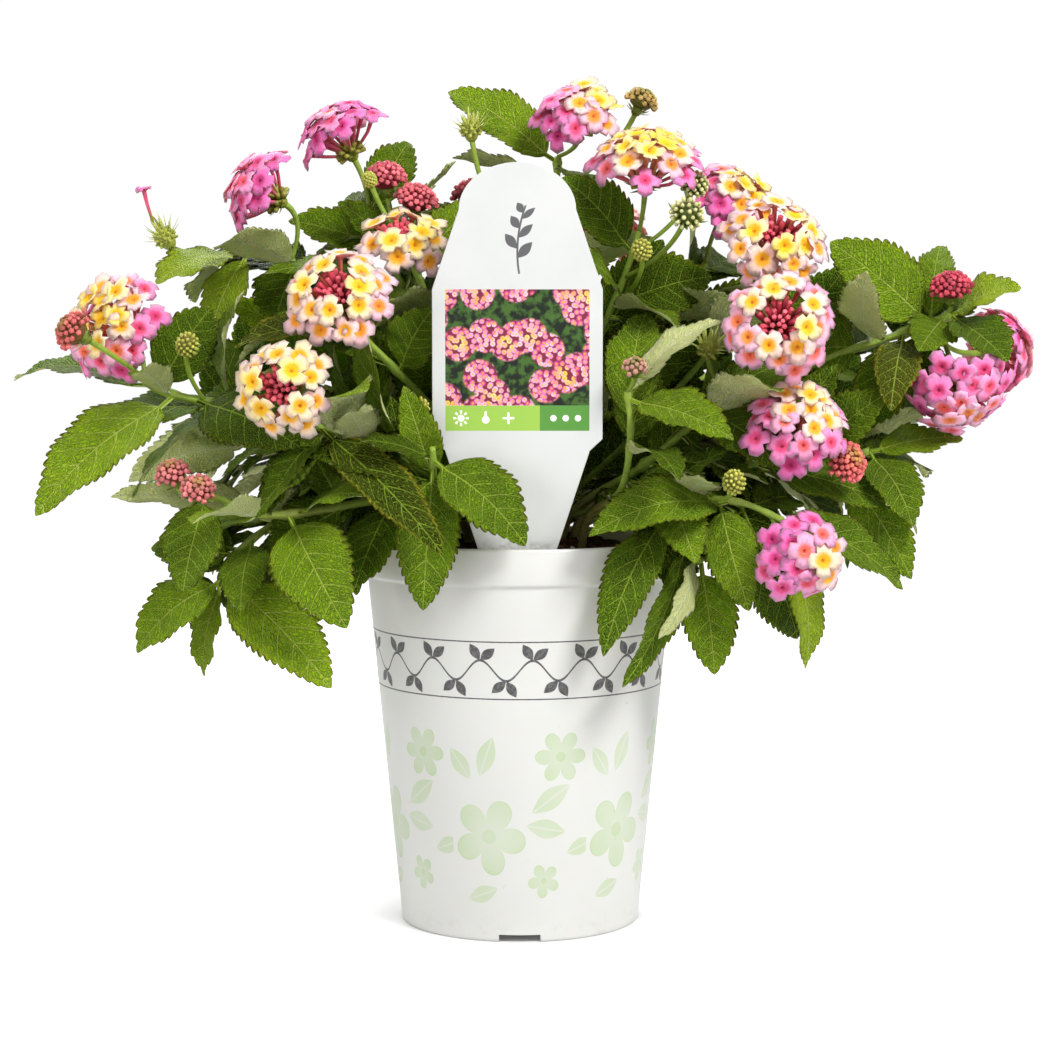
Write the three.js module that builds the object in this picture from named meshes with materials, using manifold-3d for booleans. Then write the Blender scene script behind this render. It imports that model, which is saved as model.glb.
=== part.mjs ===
// Lantana in a nursery pot: millimetres, +Z up, front towards -Y.
// The origin is the centre of the pot's flat underside.
import * as THREE from 'three';
import { mergeVertices } from 'three/addons/utils/BufferGeometryUtils.js';
import Module from 'manifold-3d';

const wasm = await Module();
wasm.setup();

// ---------------------------------------------------------------- driving dimensions

const gap = 0.3; // between pieces that rest in or on each other

const pot = {
  height: 132,
  rimRadius: 54,
  rimBand: 12, // height of the thicker band under the rim
  rimStep: 1.5, // how far the band stands out from the wall
  rimInset: 2.1, // from the rim's outside to its inside
  rounding: 0.8, // of the rim's and the band's edges
  footRadius: 41.3,
  footWidth: 2, // of the ring that the pot stands on
  footRounding: 0.6,
  wall: 1.2,
  centreRadius: 29, // flat centre of the underside
  channelLift: 2.5, // raised ring between that centre and the foot
  channelSlope: 1.2, // width of the slope up to it
  sides: 28,
  notchWidth: 14,
  notchCount: 4,
  drainRadius: 3.2,
  drainAt: 34.5, // distance of the drain holes from the middle
};

const soil = { edge: 126, middle: 133.5, lump: 1.2, rings: 3, sides: 14 };

const tag = {
  y: -45.5,
  centreX: -0.7,
  thickness: 0.9,
  top: 256.9,
  archStart: 241.7, // where the round top runs into the slanted shoulders
  archHalf: 19,
  bodyTop: 216,
  bodyHalf: 27.7,
  bodyBottom: 167.5,
  waist: [163.7, 23.6],
  soilLine: [133.3, 13.5],
  point: 92,
};

const stem = { baseRadius: 1.9, tipRadius: 1.15, sideShare: 0.8, stepsPerPoint: 2, sides: 4 };
const stalk = { radius: 0.75, cupRadius: 2, sides: 3, steps: 2 };

const leaf = {
  petiole: 0.11, // share of the length
  petioleHalf: 1.05,
  rootDepth: 0.6, // how far the root point lies behind the stem's middle line
  halfThickness: 0.75,
  widestNear: [0.5, 0.95], // powers of the outline, towards the base and the tip
  toothDepth: 0.13,
  arch: [0.05, 0.09], // rise of the middle line, as a share of the length: least, and range
  fold: [0.08, 0.22], // slope of the two halves, up from the midrib: least, and range
  ribRings: { few: [0.5], many: [0.42, 0.7] }, // where the midrib has points
  teeth: 3, // on each side: one fewer on a short leaf, one more on a long one
  shortLeaf: 52,
  longLeaf: 62,
};

// Leaves by rule lean along these directions, each with its weight.
const leafRule = {
  square: 0.85, along: 0.25, outward: 0.45,
  lift: [0.15, -0.5], reach: [0.9, 0.2], slim: [0.4, 0.08], // each: least, and range
};

const floret = {
  neckRadius: 0.75,
  neckDrop: 3.4, // from the limb down to the neck of its tube
  throatDrop: 1.3,
  notchShare: 0.76, // radius of the notches between the lobes, as a share of the limb's
  lobeDroop: 0.5,
  notchRise: 0.2,
  spare: 0.8, // largest loss of length, drawn for each floret
};
const core = { radius: 7, forward: 3.5 }; // the ball in a head that its florets stand out of
const ringCore = { radius: 4.6, forward: 1.6 }; // the same in the pink ring of a two-coloured head
const middleCore = 2.2; // and in its yellow middle
const limbShare = 0.35; // a limb's radius as a share of the head's
const budDome = { radius: 5.2, flat: 0.5 }; // the young buds in the middle of an open head

// ---------------------------------------------------------------- the plant's plan

// A branch is one main shoot and the side shoots that leave it. Each route is a smooth
// curve through its points, and from: [shoot, share] starts it on an earlier shoot.
const shoots = [
  { name: 'far_left', branch: 'left_outer', fill: [[0.42, 50], [0.56, 50], [0.7, 46]],
    route: [[-16, -8, 104], [-17, -8, 138], [-45, -18, 163], [-80, -27, 175], [-112, -32, 181], [-124, -33, 186]] },
  { name: 'low_left', branch: 'left_outer', from: ['far_left', 0.27], fill: [[0.35, 44], [0.55, 46]],
    route: [[-48, -11, 151], [-72, -21, 144], [-92, -32, 131], [-99, -37, 119]] },
  { name: 'front_left', branch: 'left_front', fill: [[0.5, 46], [0.8, 42]],
    route: [[-18, -15, 104], [-19, -17, 138], [-42, -36, 147], [-79, -50, 143], [-101, -54, 150]] },
  { name: 'by_tag', branch: 'left_front', from: ['front_left', 0.27], fill: [[0.5, 34]],
    route: [[-27, -37, 150], [-28, -48, 157], [-28, -54, 165]] },
  { name: 'middle_left', branch: 'left_middle', fill: [[0.55, 50], [0.75, 48]],
    route: [[-13, -19, 104], [-14, -21, 138], [-34, -37, 158], [-56, -45, 168], [-66, -47, 172]] },
  { name: 'inner_left', branch: 'left_middle', from: ['middle_left', 0.28], fill: [[0.35, 46], [0.65, 46]],
    route: [[-26, -27, 172], [-43, -34, 192], [-51, -38, 200]] },
  { name: 'top_left', branch: 'left_top', fill: [[0.4, 52], [0.55, 52], [0.72, 46]],
    route: [[-9, 8, 104], [-10, 9, 138], [-24, 12, 180], [-42, 13, 220], [-52, 12, 244]] },
  { name: 'upper_left', branch: 'left_top', from: ['top_left', 0.5], fill: [[0.3, 50], [0.6, 48]],
    route: [[-46, 7, 207], [-68, 2, 222], [-88, -2, 229], [-98, -3, 230]] },
  { name: 'centre_left', branch: 'centre_left', fill: [[0.42, 48], [0.66, 48]],
    route: [[-6, -3, 104], [-7, -4, 138], [-18, -8, 180], [-32, -10, 215], [-38, -11, 232]] },
  { name: 'top_centre', branch: 'centre_top', fill: [[0.45, 48], [0.65, 46]],
    route: [[2, 9, 104], [2, 10, 138], [6, 12, 190], [12, 13, 238], [13, 15, 263]] },
  { name: 'top_right', branch: 'centre_top', from: ['top_centre', 0.28], fill: [[0.35, 46], [0.6, 46]],
    route: [[18, -3, 180], [34, -13, 218], [40, -17, 236]] },
  { name: 'upper_right', branch: 'right_top', fill: [[0.45, 50], [0.65, 48], [0.82, 44]],
    route: [[13, 7, 104], [14, 8, 138], [33, 10, 175], [55, 8, 212], [64, 7, 226]] },
  { name: 'outer_right', branch: 'right_top', from: ['upper_right', 0.3], fill: [[0.35, 46], [0.65, 46]],
    route: [[42, -2, 170], [66, -11, 198], [76, -14, 213]] },
  { name: 'middle_right', branch: 'right_middle', fill: [[0.5, 50], [0.7, 48]],
    route: [[14, -9, 104], [16, -10, 138], [42, -22, 158], [66, -32, 180], [74, -36, 190]] },
  { name: 'lower_right', branch: 'right_middle', from: ['middle_right', 0.27], fill: [[0.35, 46], [0.65, 46]],
    route: [[48, -22, 149], [76, -28, 158], [88, -31, 163]] },
  { name: 'far_right', branch: 'right_outer', fill: [[0.42, 48], [0.56, 50], [0.7, 50]],
    route: [[20, 3, 104], [21, 3, 138], [52, 2, 162], [98, -5, 190], [130, -9, 202], [146, -8, 208]] },
  { name: 'side_right', branch: 'right_outer', from: ['far_right', 0.28], fill: [[0.4, 46], [0.62, 46], [0.8, 44]],
    route: [[54, -4, 149], [92, -10, 158], [118, -15, 162]] },
  { name: 'front_right', branch: 'right_front', fill: [[0.7, 36]],
    route: [[20, -22, 104], [22, -25, 138], [33, -40, 150], [36, -47, 168], [35, -49, 183]] },
  { name: 'low_right', branch: 'right_front', from: ['front_right', 0.3], fill: [[0.45, 40]],
    route: [[44, -37, 147], [70, -43, 147], [86, -45, 141]] },
  { name: 'drooping', branch: 'right_front', from: ['front_right', 0.26], fill: [],
    route: [[37, -30, 146], [50, -34, 140], [60, -35, 126]] },
  { name: 'back_left', branch: 'back_left', fill: [[0.48, 56], [0.76, 52], [0.3, 50]],
    route: [[-11, 19, 104], [-12, 21, 138], [-38, 40, 168], [-64, 56, 188]] },
  { name: 'side_left', branch: 'back_left', from: ['back_left', 0.36], fill: [[0.6, 54]],
    route: [[-50, 26, 152], [-82, 26, 160], [-100, 26, 163]] },
  { name: 'back_centre', branch: 'back_centre', fill: [[0.5, 54], [0.78, 50], [0.3, 48]],
    route: [[0, 22, 104], [0, 24, 138], [4, 48, 170], [6, 72, 184]] },
  { name: 'back_tall', branch: 'back_centre', from: ['back_centre', 0.36], fill: [[0.42, 54], [0.75, 52]],
    route: [[-4, 32, 180], [-10, 38, 215], [-12, 42, 238]] },
  { name: 'back_right', branch: 'back_right', fill: [[0.48, 56], [0.76, 52], [0.3, 50]],
    route: [[13, 18, 104], [14, 20, 138], [42, 38, 170], [70, 54, 188]] },
  { name: 'back_low', branch: 'back_right', from: ['back_right', 0.36], fill: [[0.55, 54], [0.9, 50]],
    route: [[56, 27, 152], [88, 30, 158], [106, 31, 160]] },
];

// Flower heads. kind: full (one colour of florets), two (yellow middle, pink rim),
// open (florets round red buds), berry (red buds), and green, seed and calyx, which
// stay on their branch. at: [shoot, share] is where the flower stalk leaves.
const heads = [
  { name: 'bloom_top_left', kind: 'full', colour: 'pink', centre: [-59.2, 10, 265.1], facing: [-0.5, -0.2, 0.85],
    radius: 18, spread: 80, at: ['top_left', 1] },
  { name: 'bloom_upper_left', kind: 'full', colour: 'pink', centre: [-83, -6, 247.5], facing: [-0.85, -0.3, 0.5],
    radius: 18, spread: 80, at: ['upper_left', 0.62] },
  { name: 'bloom_far_left', kind: 'two', colour: 'pink', centre: [-129.5, -32, 201.5], facing: [-0.45, -0.75, 0.4],
    radius: 20, spread: 80, at: ['far_left', 1] },
  { name: 'bloom_centre_left', kind: 'open', colour: 'cream', centre: [-39.5, -20, 229], facing: [0.05, -0.6, 0.8],
    radius: 15.5, spread: 80, at: ['centre_left', 0.92] },
  { name: 'bloom_left', kind: 'open', colour: 'peach', centre: [-57, -52, 211], facing: [-0.1, -0.85, 0.5],
    radius: 18.5, spread: 80, at: ['inner_left', 1] },
  { name: 'bloom_lower_left', kind: 'open', colour: 'cream', centre: [-74, -66, 184], facing: [-0.15, -0.97, 0.15],
    radius: 16, spread: 80, at: ['middle_left', 1] },
  { name: 'bloom_top', kind: 'two', colour: 'pink', centre: [19.5, 8, 272], facing: [-0.1, -0.55, 0.8],
    radius: 19, spread: 80, at: ['top_centre', 1] },
  { name: 'bloom_top_right', kind: 'two', colour: 'pink', centre: [41.8, -18, 252.5], facing: [0, -0.4, 0.93],
    radius: 20.5, spread: 80, at: ['top_right', 1] },
  { name: 'bloom_upper_right', kind: 'two', colour: 'pink', centre: [70.5, 5, 243], facing: [0.45, -0.55, 0.7],
    radius: 18, spread: 80, at: ['upper_right', 1] },
  { name: 'bloom_right', kind: 'open', colour: 'peach', centre: [84.5, -22, 229.5], facing: [0.1, -0.85, 0.5],
    radius: 18.5, spread: 80, at: ['outer_right', 1] },
  { name: 'bloom_middle_right', kind: 'open', colour: 'peach', centre: [83, -50, 203], facing: [0.05, -0.95, 0.3],
    radius: 19, spread: 80, at: ['middle_right', 1] },
  { name: 'bloom_lower_right', kind: 'two', colour: 'pink', centre: [90, -42, 168.5], facing: [0.1, -0.8, 0.5],
    radius: 18.5, spread: 80, at: ['lower_right', 0.8] },
  { name: 'bloom_low_right', kind: 'full', colour: 'pink', centre: [89.5, -56, 131], facing: [0.1, -0.97, 0],
    radius: 16.5, spread: 80, at: ['low_right', 0.9] },
  { name: 'bloom_far_right', kind: 'full', colour: 'pink', centre: [147, -16, 185.5], facing: [0.1, -0.6, -0.75],
    radius: 18, spread: 80, at: ['far_right', 0.93] },
  { name: 'bloom_edge_right', kind: 'full', colour: 'pink', centre: [164, 13, 196], facing: [0.85, 0.3, 0.15],
    radius: 15.5, spread: 80, at: ['far_right', 0.9] },
  { name: 'bloom_behind_top', kind: 'full', colour: 'peach', centre: [32, 55, 234], facing: [0.1, 0.4, 0.85],
    radius: 17, spread: 80, at: ['back_tall', 0.9] },
  { name: 'bloom_back_left', kind: 'full', colour: 'pink', centre: [-72, 66, 200], facing: [-0.4, 0.6, 0.6],
    radius: 17, spread: 80, at: ['back_left', 1] },
  { name: 'bloom_back', kind: 'open', colour: 'peach', centre: [6, 84, 194], facing: [0, 0.7, 0.7],
    radius: 17, spread: 80, at: ['back_centre', 1] },
  { name: 'bloom_back_right', kind: 'full', colour: 'pink', centre: [80, 63, 200], facing: [0.4, 0.6, 0.6],
    radius: 17, spread: 80, at: ['back_right', 1] },
  { name: 'buds_centre_left', kind: 'berry', centre: [-46, 2, 255], facing: [-0.1, -0.3, 0.95],
    radius: 7, at: ['centre_left', 1] },
  { name: 'buds_far_left', kind: 'berry', centre: [-142.1, -60, 202.6], facing: [-0.75, -0.35, 0.5],
    radius: 6.5, at: ['far_left', 0.9] },
  { name: 'buds_low_left', kind: 'berry', centre: [-102.6, -61, 152.1], facing: [0.1, -0.6, 0.7],
    radius: 5.5, at: ['front_left', 1] },
  { name: 'buds_lower_left', kind: 'berry', centre: [-112.2, -52, 156.7], facing: [-0.2, -0.4, 0.7],
    radius: 5.5, at: ['front_left', 0.95] },
  { name: 'buds_top', kind: 'berry', centre: [41.7, 9, 281.7], facing: [0.4, -0.1, 0.85],
    radius: 5.5, at: ['top_centre', 0.86] },
  { name: 'buds_front_right', kind: 'berry', centre: [37, -54, 191], facing: [0, -0.5, 0.8],
    radius: 4, at: ['front_right', 1] },
  { name: 'buds_lower_right', kind: 'berry', centre: [107, -40, 160], facing: [0.5, -0.7, 0.4],
    radius: 7.2, at: ['lower_right', 1] },
  { name: 'buds_far_right', kind: 'berry', centre: [145.5, -12, 217.5], facing: [-0.1, -0.4, 0.9],
    radius: 6.8, at: ['far_right', 0.97] },
  { name: 'buds_back', kind: 'berry', centre: [-18, 46, 252], facing: [-0.2, 0.3, 0.9],
    radius: 6.5, at: ['back_tall', 1] },
  { name: 'green_upper_left', kind: 'green', centre: [-50.6, -11, 253.3], facing: [-0.3, -0.3, 0.9],
    radius: 3, at: ['centre_left', 0.97] },
  { name: 'green_left', kind: 'green', centre: [-33, -46, 177], facing: [0.1, -0.3, 0.9],
    radius: 4.5, at: ['inner_left', 0.3] },
  { name: 'green_far_left', kind: 'green', centre: [-108, -44, 198], facing: [0.2, -0.5, 0.8],
    radius: 4.5, at: ['far_left', 0.74] },
  { name: 'seed_right', kind: 'seed', centre: [58.2, -20, 251.1], facing: [0.3, -0.3, 0.9],
    radius: 5, at: ['top_right', 0.85] },
  { name: 'seed_upper_right', kind: 'seed', centre: [54.9, -34, 240.6], facing: [0.3, -0.5, 0.8],
    radius: 6, at: ['top_right', 0.7] },
  { name: 'green_top_right', kind: 'green', centre: [40, -36, 229], facing: [-0.1, -0.6, 0.7],
    radius: 4, at: ['top_right', 0.6] },
  { name: 'green_right', kind: 'green', centre: [69, -56, 154], facing: [0, -0.6, 0.8],
    radius: 4.5, at: ['low_right', 0.55] },
  { name: 'green_outer_right', kind: 'green', centre: [101, -30, 176], facing: [0.4, -0.4, 0.8],
    radius: 4, at: ['lower_right', 0.9] },
  { name: 'calyx_left', kind: 'calyx', centre: [-122, 0, 236], facing: [-0.5, -0.1, 0.85],
    radius: 7.5, at: ['upper_left', 1] },
  { name: 'calyx_top', kind: 'calyx', centre: [-17, 4, 273], facing: [-0.1, -0.1, 0.98],
    radius: 7, at: ['top_centre', 0.62] },
  { name: 'calyx_right', kind: 'calyx', centre: [62, -38, 198], facing: [0.1, -0.6, 0.7],
    radius: 7, at: ['middle_right', 0.78] },
  { name: 'buds_upper_left', kind: 'berry', centre: [-35.3, -2, 247.4], facing: [0.2, -0.3, 0.9],
    radius: 7, at: ['centre_left', 0.96] },
];

// Leaves that have a place of their own: [shoot, share along it, tip, width, facing].
const placedLeaves = [
  ['middle_left', 0.97, [-24, -72, 132], 18, [0.3, -0.85, 0.4]],
  ['by_tag', 0.75, [-31, -60, 113], 21, [0, -1, 0.15]],
  ['by_tag', 0.85, [2, -62, 134], 24, [0.15, -0.8, 0.6]],
  ['far_left', 0.82, [-156, -55, 143], 28, [-0.2, -0.7, 0.65]],
  ['far_left', 0.95, [-175, 6, 185.5], 16, [-0.1, -0.4, 0.9]],
  ['far_left', 0.84, [-129.5, -68, 199.1], 13, [-0.3, -0.5, 0.8]],
  ['far_left', 0.76, [-70, -62, 165.6], 25, [0, -0.85, 0.5]],
  ['far_left', 0.9, [-94.4, -22, 205.7], 22, [0.2, -0.8, 0.5]],
  ['low_left', 0.6, [-135, -36, 148], 20, [-0.2, -0.5, 0.8]],
  ['front_left', 1, [-107.9, -60, 119.1], 20, [-0.2, -0.95, 0.1]],
  ['front_left', 0.72, [-55, -67, 108], 27, [-0.1, -0.95, 0.3]],
  ['front_left', 0.7, [-50, -64, 155], 17, [0.1, -0.5, 0.85]],
  ['front_left', 0.5, [-53, -60, 119], 19, [-0.3, -0.9, 0.2]],
  ['low_left', 0.95, [-61, -54, 87], 25, [0.2, -0.9, 0.4]],
  ['low_left', 0.95, [-126, -42, 97], 20, [-0.5, -0.8, 0.3]],
  ['low_left', 1, [-105, -34, 88], 17, [-0.7, -0.6, 0.2]],
  ['low_left', 0.7, [-90, -50, 108], 18, [-0.2, -0.95, 0.2]],
  ['inner_left', 0.95, [-93, -44, 197], 18, [-0.2, -0.5, 0.8]],
  ['inner_left', 0.6, [-28, -38, 210], 20, [0.1, -0.7, 0.7]],
  ['upper_left', 0.97, [-119.2, -20, 213.1], 26, [-0.4, -0.6, 0.7]],
  ['top_left', 0.75, [-91.5, -12, 221.7], 19, [-0.2, -0.5, 0.85]],
  ['top_left', 1, [-39.1, 26, 268.8], 17, [0.2, -0.8, 0.5]],
  ['centre_left', 0.85, [-18.5, -4, 250.3], 17, [0.2, -0.8, 0.6]],
  ['top_centre', 0.98, [-20.7, 28, 293.5], 21, [0, -0.75, 0.65]],
  ['top_centre', 0.97, [33, -8, 240], 17, [0.5, -0.7, 0.5]],
  ['top_right', 0.85, [13.6, -12, 253.9], 21, [0, -0.8, 0.6]],
  ['top_right', 0.45, [50.8, -2, 234], 20, [0, -0.95, 0.2]],
  ['top_right', 0.65, [20, -34, 226], 19, [0, -0.8, 0.6]],
  ['front_right', 0.8, [40.6, -30, 212.6], 20, [-0.3, -0.95, 0.2]],
  ['front_right', 1, [61.2, -48, 210.7], 12, [-0.6, -0.6, 0.5]],
  ['front_right', 0.96, [68, -66, 168], 20, [0, -0.6, 0.8]],
  ['low_right', 0.65, [22, -63, 137], 22, [-0.1, -0.7, 0.7]],
  ['low_right', 0.7, [92.9, -28, 99.9], 26, [0.2, -0.9, 0.2]],
  ['low_right', 0.9, [126.9, -36, 117.3], 21, [0.1, -0.6, 0.8]],
  ['low_right', 1, [95.6, -16, 93.4], 17, [0.6, -0.75, 0.1]],
  ['drooping', 0.6, [27, -60, 98], 18, [-0.3, -0.95, 0.1]],
  ['drooping', 0.85, [33, -60, 88], 13, [0.6, -0.8, 0]],
  ['drooping', 1, [64, -44, 90], 19, [0.1, -1, 0.1]],
  ['middle_right', 0.7, [84, -48, 158], 21, [0, -0.7, 0.7]],
  ['lower_right', 0.7, [126, -36, 143], 21, [0.1, -0.6, 0.8]],
  ['side_right', 1, [130, -34, 138], 19, [0.3, -0.9, 0.3]],
  ['side_right', 1, [150.6, -10, 166.4], 17, [0.1, -0.5, 0.85]],
  ['side_right', 0.75, [132.1, -24, 175.6], 22, [0, -0.8, 0.6]],
  ['far_right', 0.9, [105.2, -6, 232.8], 27, [-0.3, -0.7, 0.6]],
  ['far_right', 0.72, [114.6, -32, 222.2], 20, [-0.5, -0.8, 0.2]],
  ['far_right', 0.8, [112, 2, 172], 20, [0.1, -0.95, 0.2]],
  ['far_right', 1, [168, -18, 217], 18, [0, -0.6, 0.8]],
  ['far_right', 0.9, [146.1, 14, 232.2], 14, [-0.2, -0.8, 0.5]],
  ['far_right', 0.97, [133.8, -24, 192.3], 18, [-0.1, -0.9, 0.4]],
  ['far_right', 1, [161.8, -28, 192.4], 22, [0.2, -0.7, 0.7]],
  ['upper_left', 0.85, [-105.3, -5, 198], 17, [-0.4, -0.8, 0.2]],
  ['back_left', 0.9, [-105.6, 25, 213.8], 20, [-0.2, -0.8, 0.5]],
  ['top_left', 0.86, [-79.7, 6, 240.5], 18, [0, -0.8, 0.6]],
  ['top_left', 0.85, [-70.7, 2, 247.9], 15, [0, -0.8, 0.5]],
  ['far_right', 0.82, [126.7, 10, 226.8], 20, [0.1, -0.8, 0.5]],
  ['far_right', 0.8, [100.7, -38, 183.9], 20, [-0.1, -0.7, 0.7]],
  ['low_right', 0.4, [64.6, -62, 133.4], 18, [0, -0.9, 0.4]],
  ['low_right', 0.6, [74.3, -54, 112.1], 18, [-0.2, -0.9, 0.2]],
  ['drooping', 0.95, [42, -56, 95.6], 10, [0.6, -0.8, 0]],
  ['far_left', 0.72, [-149.5, -25, 171.3], 20, [-0.3, -0.5, 0.8]],
  ['side_left', 0.95, [-136.1, 8, 150.4], 22, [0, -0.7, 0.6]],
  ['low_left', 0.8, [-123, -28, 130.5], 17, [-0.1, -0.8, 0.5]],
  ['centre_left', 0.5, [-41.9, -26, 207], 20, [-0.6, -0.8, 0]],
  ['centre_left', 0.45, [-44.5, -34, 189.8], 22, [0, -0.8, 0.6]],
  ['upper_right', 0.5, [63.6, 0, 216.9], 22, [0, -0.8, 0.5]],
  ['middle_right', 0.5, [71.9, -24, 184.6], 20, [0, -0.8, 0.5]],
  ['side_right', 0.6, [126.4, -6, 184.3], 21, [0, -0.8, 0.5]],
];

// How a leaf may turn to come clear of its neighbours: [sideways, upwards, size], in degrees.
const turns = [
  [0, 0, 1], [0, 10, 1], [0, -10, 1], [12, 0, 1], [-12, 0, 1], [12, 14, 0.95], [-12, 14, 0.95],
  [14, -14, 0.95], [-14, -14, 0.95], [0, 24, 0.9], [0, -24, 0.9], [26, 0, 0.9], [-26, 0, 0.9],
  [28, 22, 0.85], [-28, 22, 0.85], [28, -22, 0.8], [-28, -22, 0.8], [0, 40, 0.8], [44, 8, 0.75], [-44, 8, 0.75],
];
const turnClearance = 0.6; // added to the half thickness of a leaf while it is tested
const bareShare = 0.1; // share of a leaf, at its stalk, that isn't tested

// ---------------------------------------------------------------- materials

const finish = (colour, roughness) => new THREE.MeshStandardMaterial({ color: colour, roughness, metalness: 0 });
const finishes = {
  pot: finish('#eceeea', 0.3),
  soil: finish('#3a2a20', 0.95),
  tag: finish('#f3f4f2', 0.35),
  foliage: finish('#4c7a22', 0.6),
  pink: finish('#e68ab4', 0.6),
  peach: finish('#f6cf9a', 0.6),
  cream: finish('#f6e49a', 0.6),
  berry: finish('#b8485a', 0.6),
};

// ---------------------------------------------------------------- small tools

const vector = (point) => new THREE.Vector3(...point);

function hash(i, j) {
  const wave = Math.sin(i * 127.1 + j * 311.7) * 43758.5453;
  return wave - Math.floor(wave);
}

const pick = ([least, range], i, j) => least + range * hash(i, j);

function meshGeometry(points, triangles) {
  const geometry = new THREE.BufferGeometry();
  geometry.setAttribute('position', new THREE.Float32BufferAttribute(points.flatMap((p) => p.toArray()), 3));
  geometry.setIndex(triangles.flat());
  return geometry;
}

function solid(geometry) {
  const bare = geometry.clone();
  bare.deleteAttribute('normal');
  bare.deleteAttribute('uv');
  const merged = mergeVertices(bare, 1e-4);
  return new wasm.Manifold(new wasm.Mesh({
    numProp: 3,
    vertProperties: merged.attributes.position.array,
    triVerts: merged.index.array,
  }));
}

function geometryOf(body) {
  const mesh = body.getMesh();
  const geometry = new THREE.BufferGeometry();
  geometry.setAttribute('position', new THREE.BufferAttribute(mesh.vertProperties, 3));
  geometry.setIndex(new THREE.BufferAttribute(mesh.triVerts, 1));
  geometry.computeVertexNormals();
  return geometry;
}

const join = (bodies) => bodies.reduce((whole, body) => whole.add(body));

function boxesMeet(a, b) {
  return [0, 1, 2].every((k) => a.min[k] < b.max[k] && b.min[k] < a.max[k]);
}

// Triangles of a strip between two chains of points, by their shares along the strip.
function zip(first, second) {
  const triangles = [];
  let i = 0;
  let j = 0;
  while (i < first.length - 1 || j < second.length - 1) {
    const stepFirst = j === second.length - 1
      || (i < first.length - 1 && first[i + 1].share <= second[j + 1].share);
    if (stepFirst) {
      triangles.push([first[i].index, first[i + 1].index, second[j].index]);
      i += 1;
    } else {
      triangles.push([first[i].index, second[j + 1].index, second[j].index]);
      j += 1;
    }
  }
  return triangles.filter(([a, b, c]) => a !== b && b !== c && a !== c);
}

// A closed tube along a curve: a polygon of the given radius at each step.
function tube(curve, radiusAt, sides, steps) {
  const points = [];
  const triangles = [];
  let across = new THREE.Vector3(0, 1, 0);
  for (let i = 0; i <= steps; i += 1) {
    const share = i / steps;
    const tangent = curve.getTangent(share);
    across = across.clone().addScaledVector(tangent, -across.dot(tangent)).normalize();
    const other = new THREE.Vector3().crossVectors(tangent, across);
    const centre = curve.getPoint(share);
    for (let k = 0; k < sides; k += 1) {
      const angle = (k / sides) * 2 * Math.PI + Math.PI / sides;
      points.push(centre.clone()
        .addScaledVector(across, Math.cos(angle) * radiusAt(share))
        .addScaledVector(other, Math.sin(angle) * radiusAt(share)));
    }
  }
  for (let i = 0; i < steps; i += 1) {
    for (let k = 0; k < sides; k += 1) {
      const next = (k + 1) % sides;
      triangles.push([i * sides + k, i * sides + next, (i + 1) * sides + next]);
      triangles.push([i * sides + k, (i + 1) * sides + next, (i + 1) * sides + k]);
    }
  }
  for (let k = 1; k < sides - 1; k += 1) {
    triangles.push([0, k + 1, k]);
    triangles.push([steps * sides, steps * sides + k, steps * sides + k + 1]);
  }
  return meshGeometry(points, triangles);
}

// ---------------------------------------------------------------- pot, soil and tag

const bandBottom = pot.height - pot.rimBand;
const wallRadius = (z) => THREE.MathUtils.mapLinear(z, 4, bandBottom, pot.footRadius, pot.rimRadius - pot.rimStep);
const innerRadius = (z) => wallRadius(z) - pot.wall;

function lathe(profile, sides) {
  const geometry = new THREE.LatheGeometry(profile.map(([r, z]) => new THREE.Vector2(r, z)), sides);
  return geometry.rotateX(Math.PI / 2);
}

function potBody() {
  const { height, rimRadius, rounding, footRadius, footWidth, footRounding, wall, centreRadius, channelLift } = pot;
  const floorTop = wall + channelLift;
  const footInner = footRadius - footWidth;
  const slope = pot.channelSlope;
  const profile = [
    [0, 0], [centreRadius, 0], [centreRadius + slope, channelLift], [footInner - footRounding, channelLift],
    [footInner, 0], [footRadius - footRounding, 0], [footRadius, 1],
    [wallRadius(bandBottom - rounding), bandBottom - rounding], [rimRadius - footRounding, bandBottom],
    [rimRadius, height - rounding], [rimRadius - rounding, height], [rimRadius - pot.rimInset, height],
    [innerRadius(bandBottom), bandBottom], [innerRadius(floorTop), floorTop],
    [centreRadius, floorTop], [centreRadius - slope, wall], [0, wall],
  ];
  let body = solid(lathe(profile, pot.sides));
  for (let i = 0; i < pot.notchCount; i += 1) {
    const angle = (i / pot.notchCount) * 2 * Math.PI;
    const notch = new THREE.BoxGeometry(pot.notchWidth, 4 * footWidth, 2 * channelLift);
    notch.translate(0, -footRadius, 0).rotateZ(angle);
    body = body.subtract(solid(notch));
    const drain = new THREE.CylinderGeometry(pot.drainRadius, pot.drainRadius, 3 * wall, 8);
    drain.rotateX(Math.PI / 2).translate(0, -pot.drainAt, channelLift + wall / 2).rotateZ(angle);
    body = body.subtract(solid(drain));
  }
  return body;
}

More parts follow.
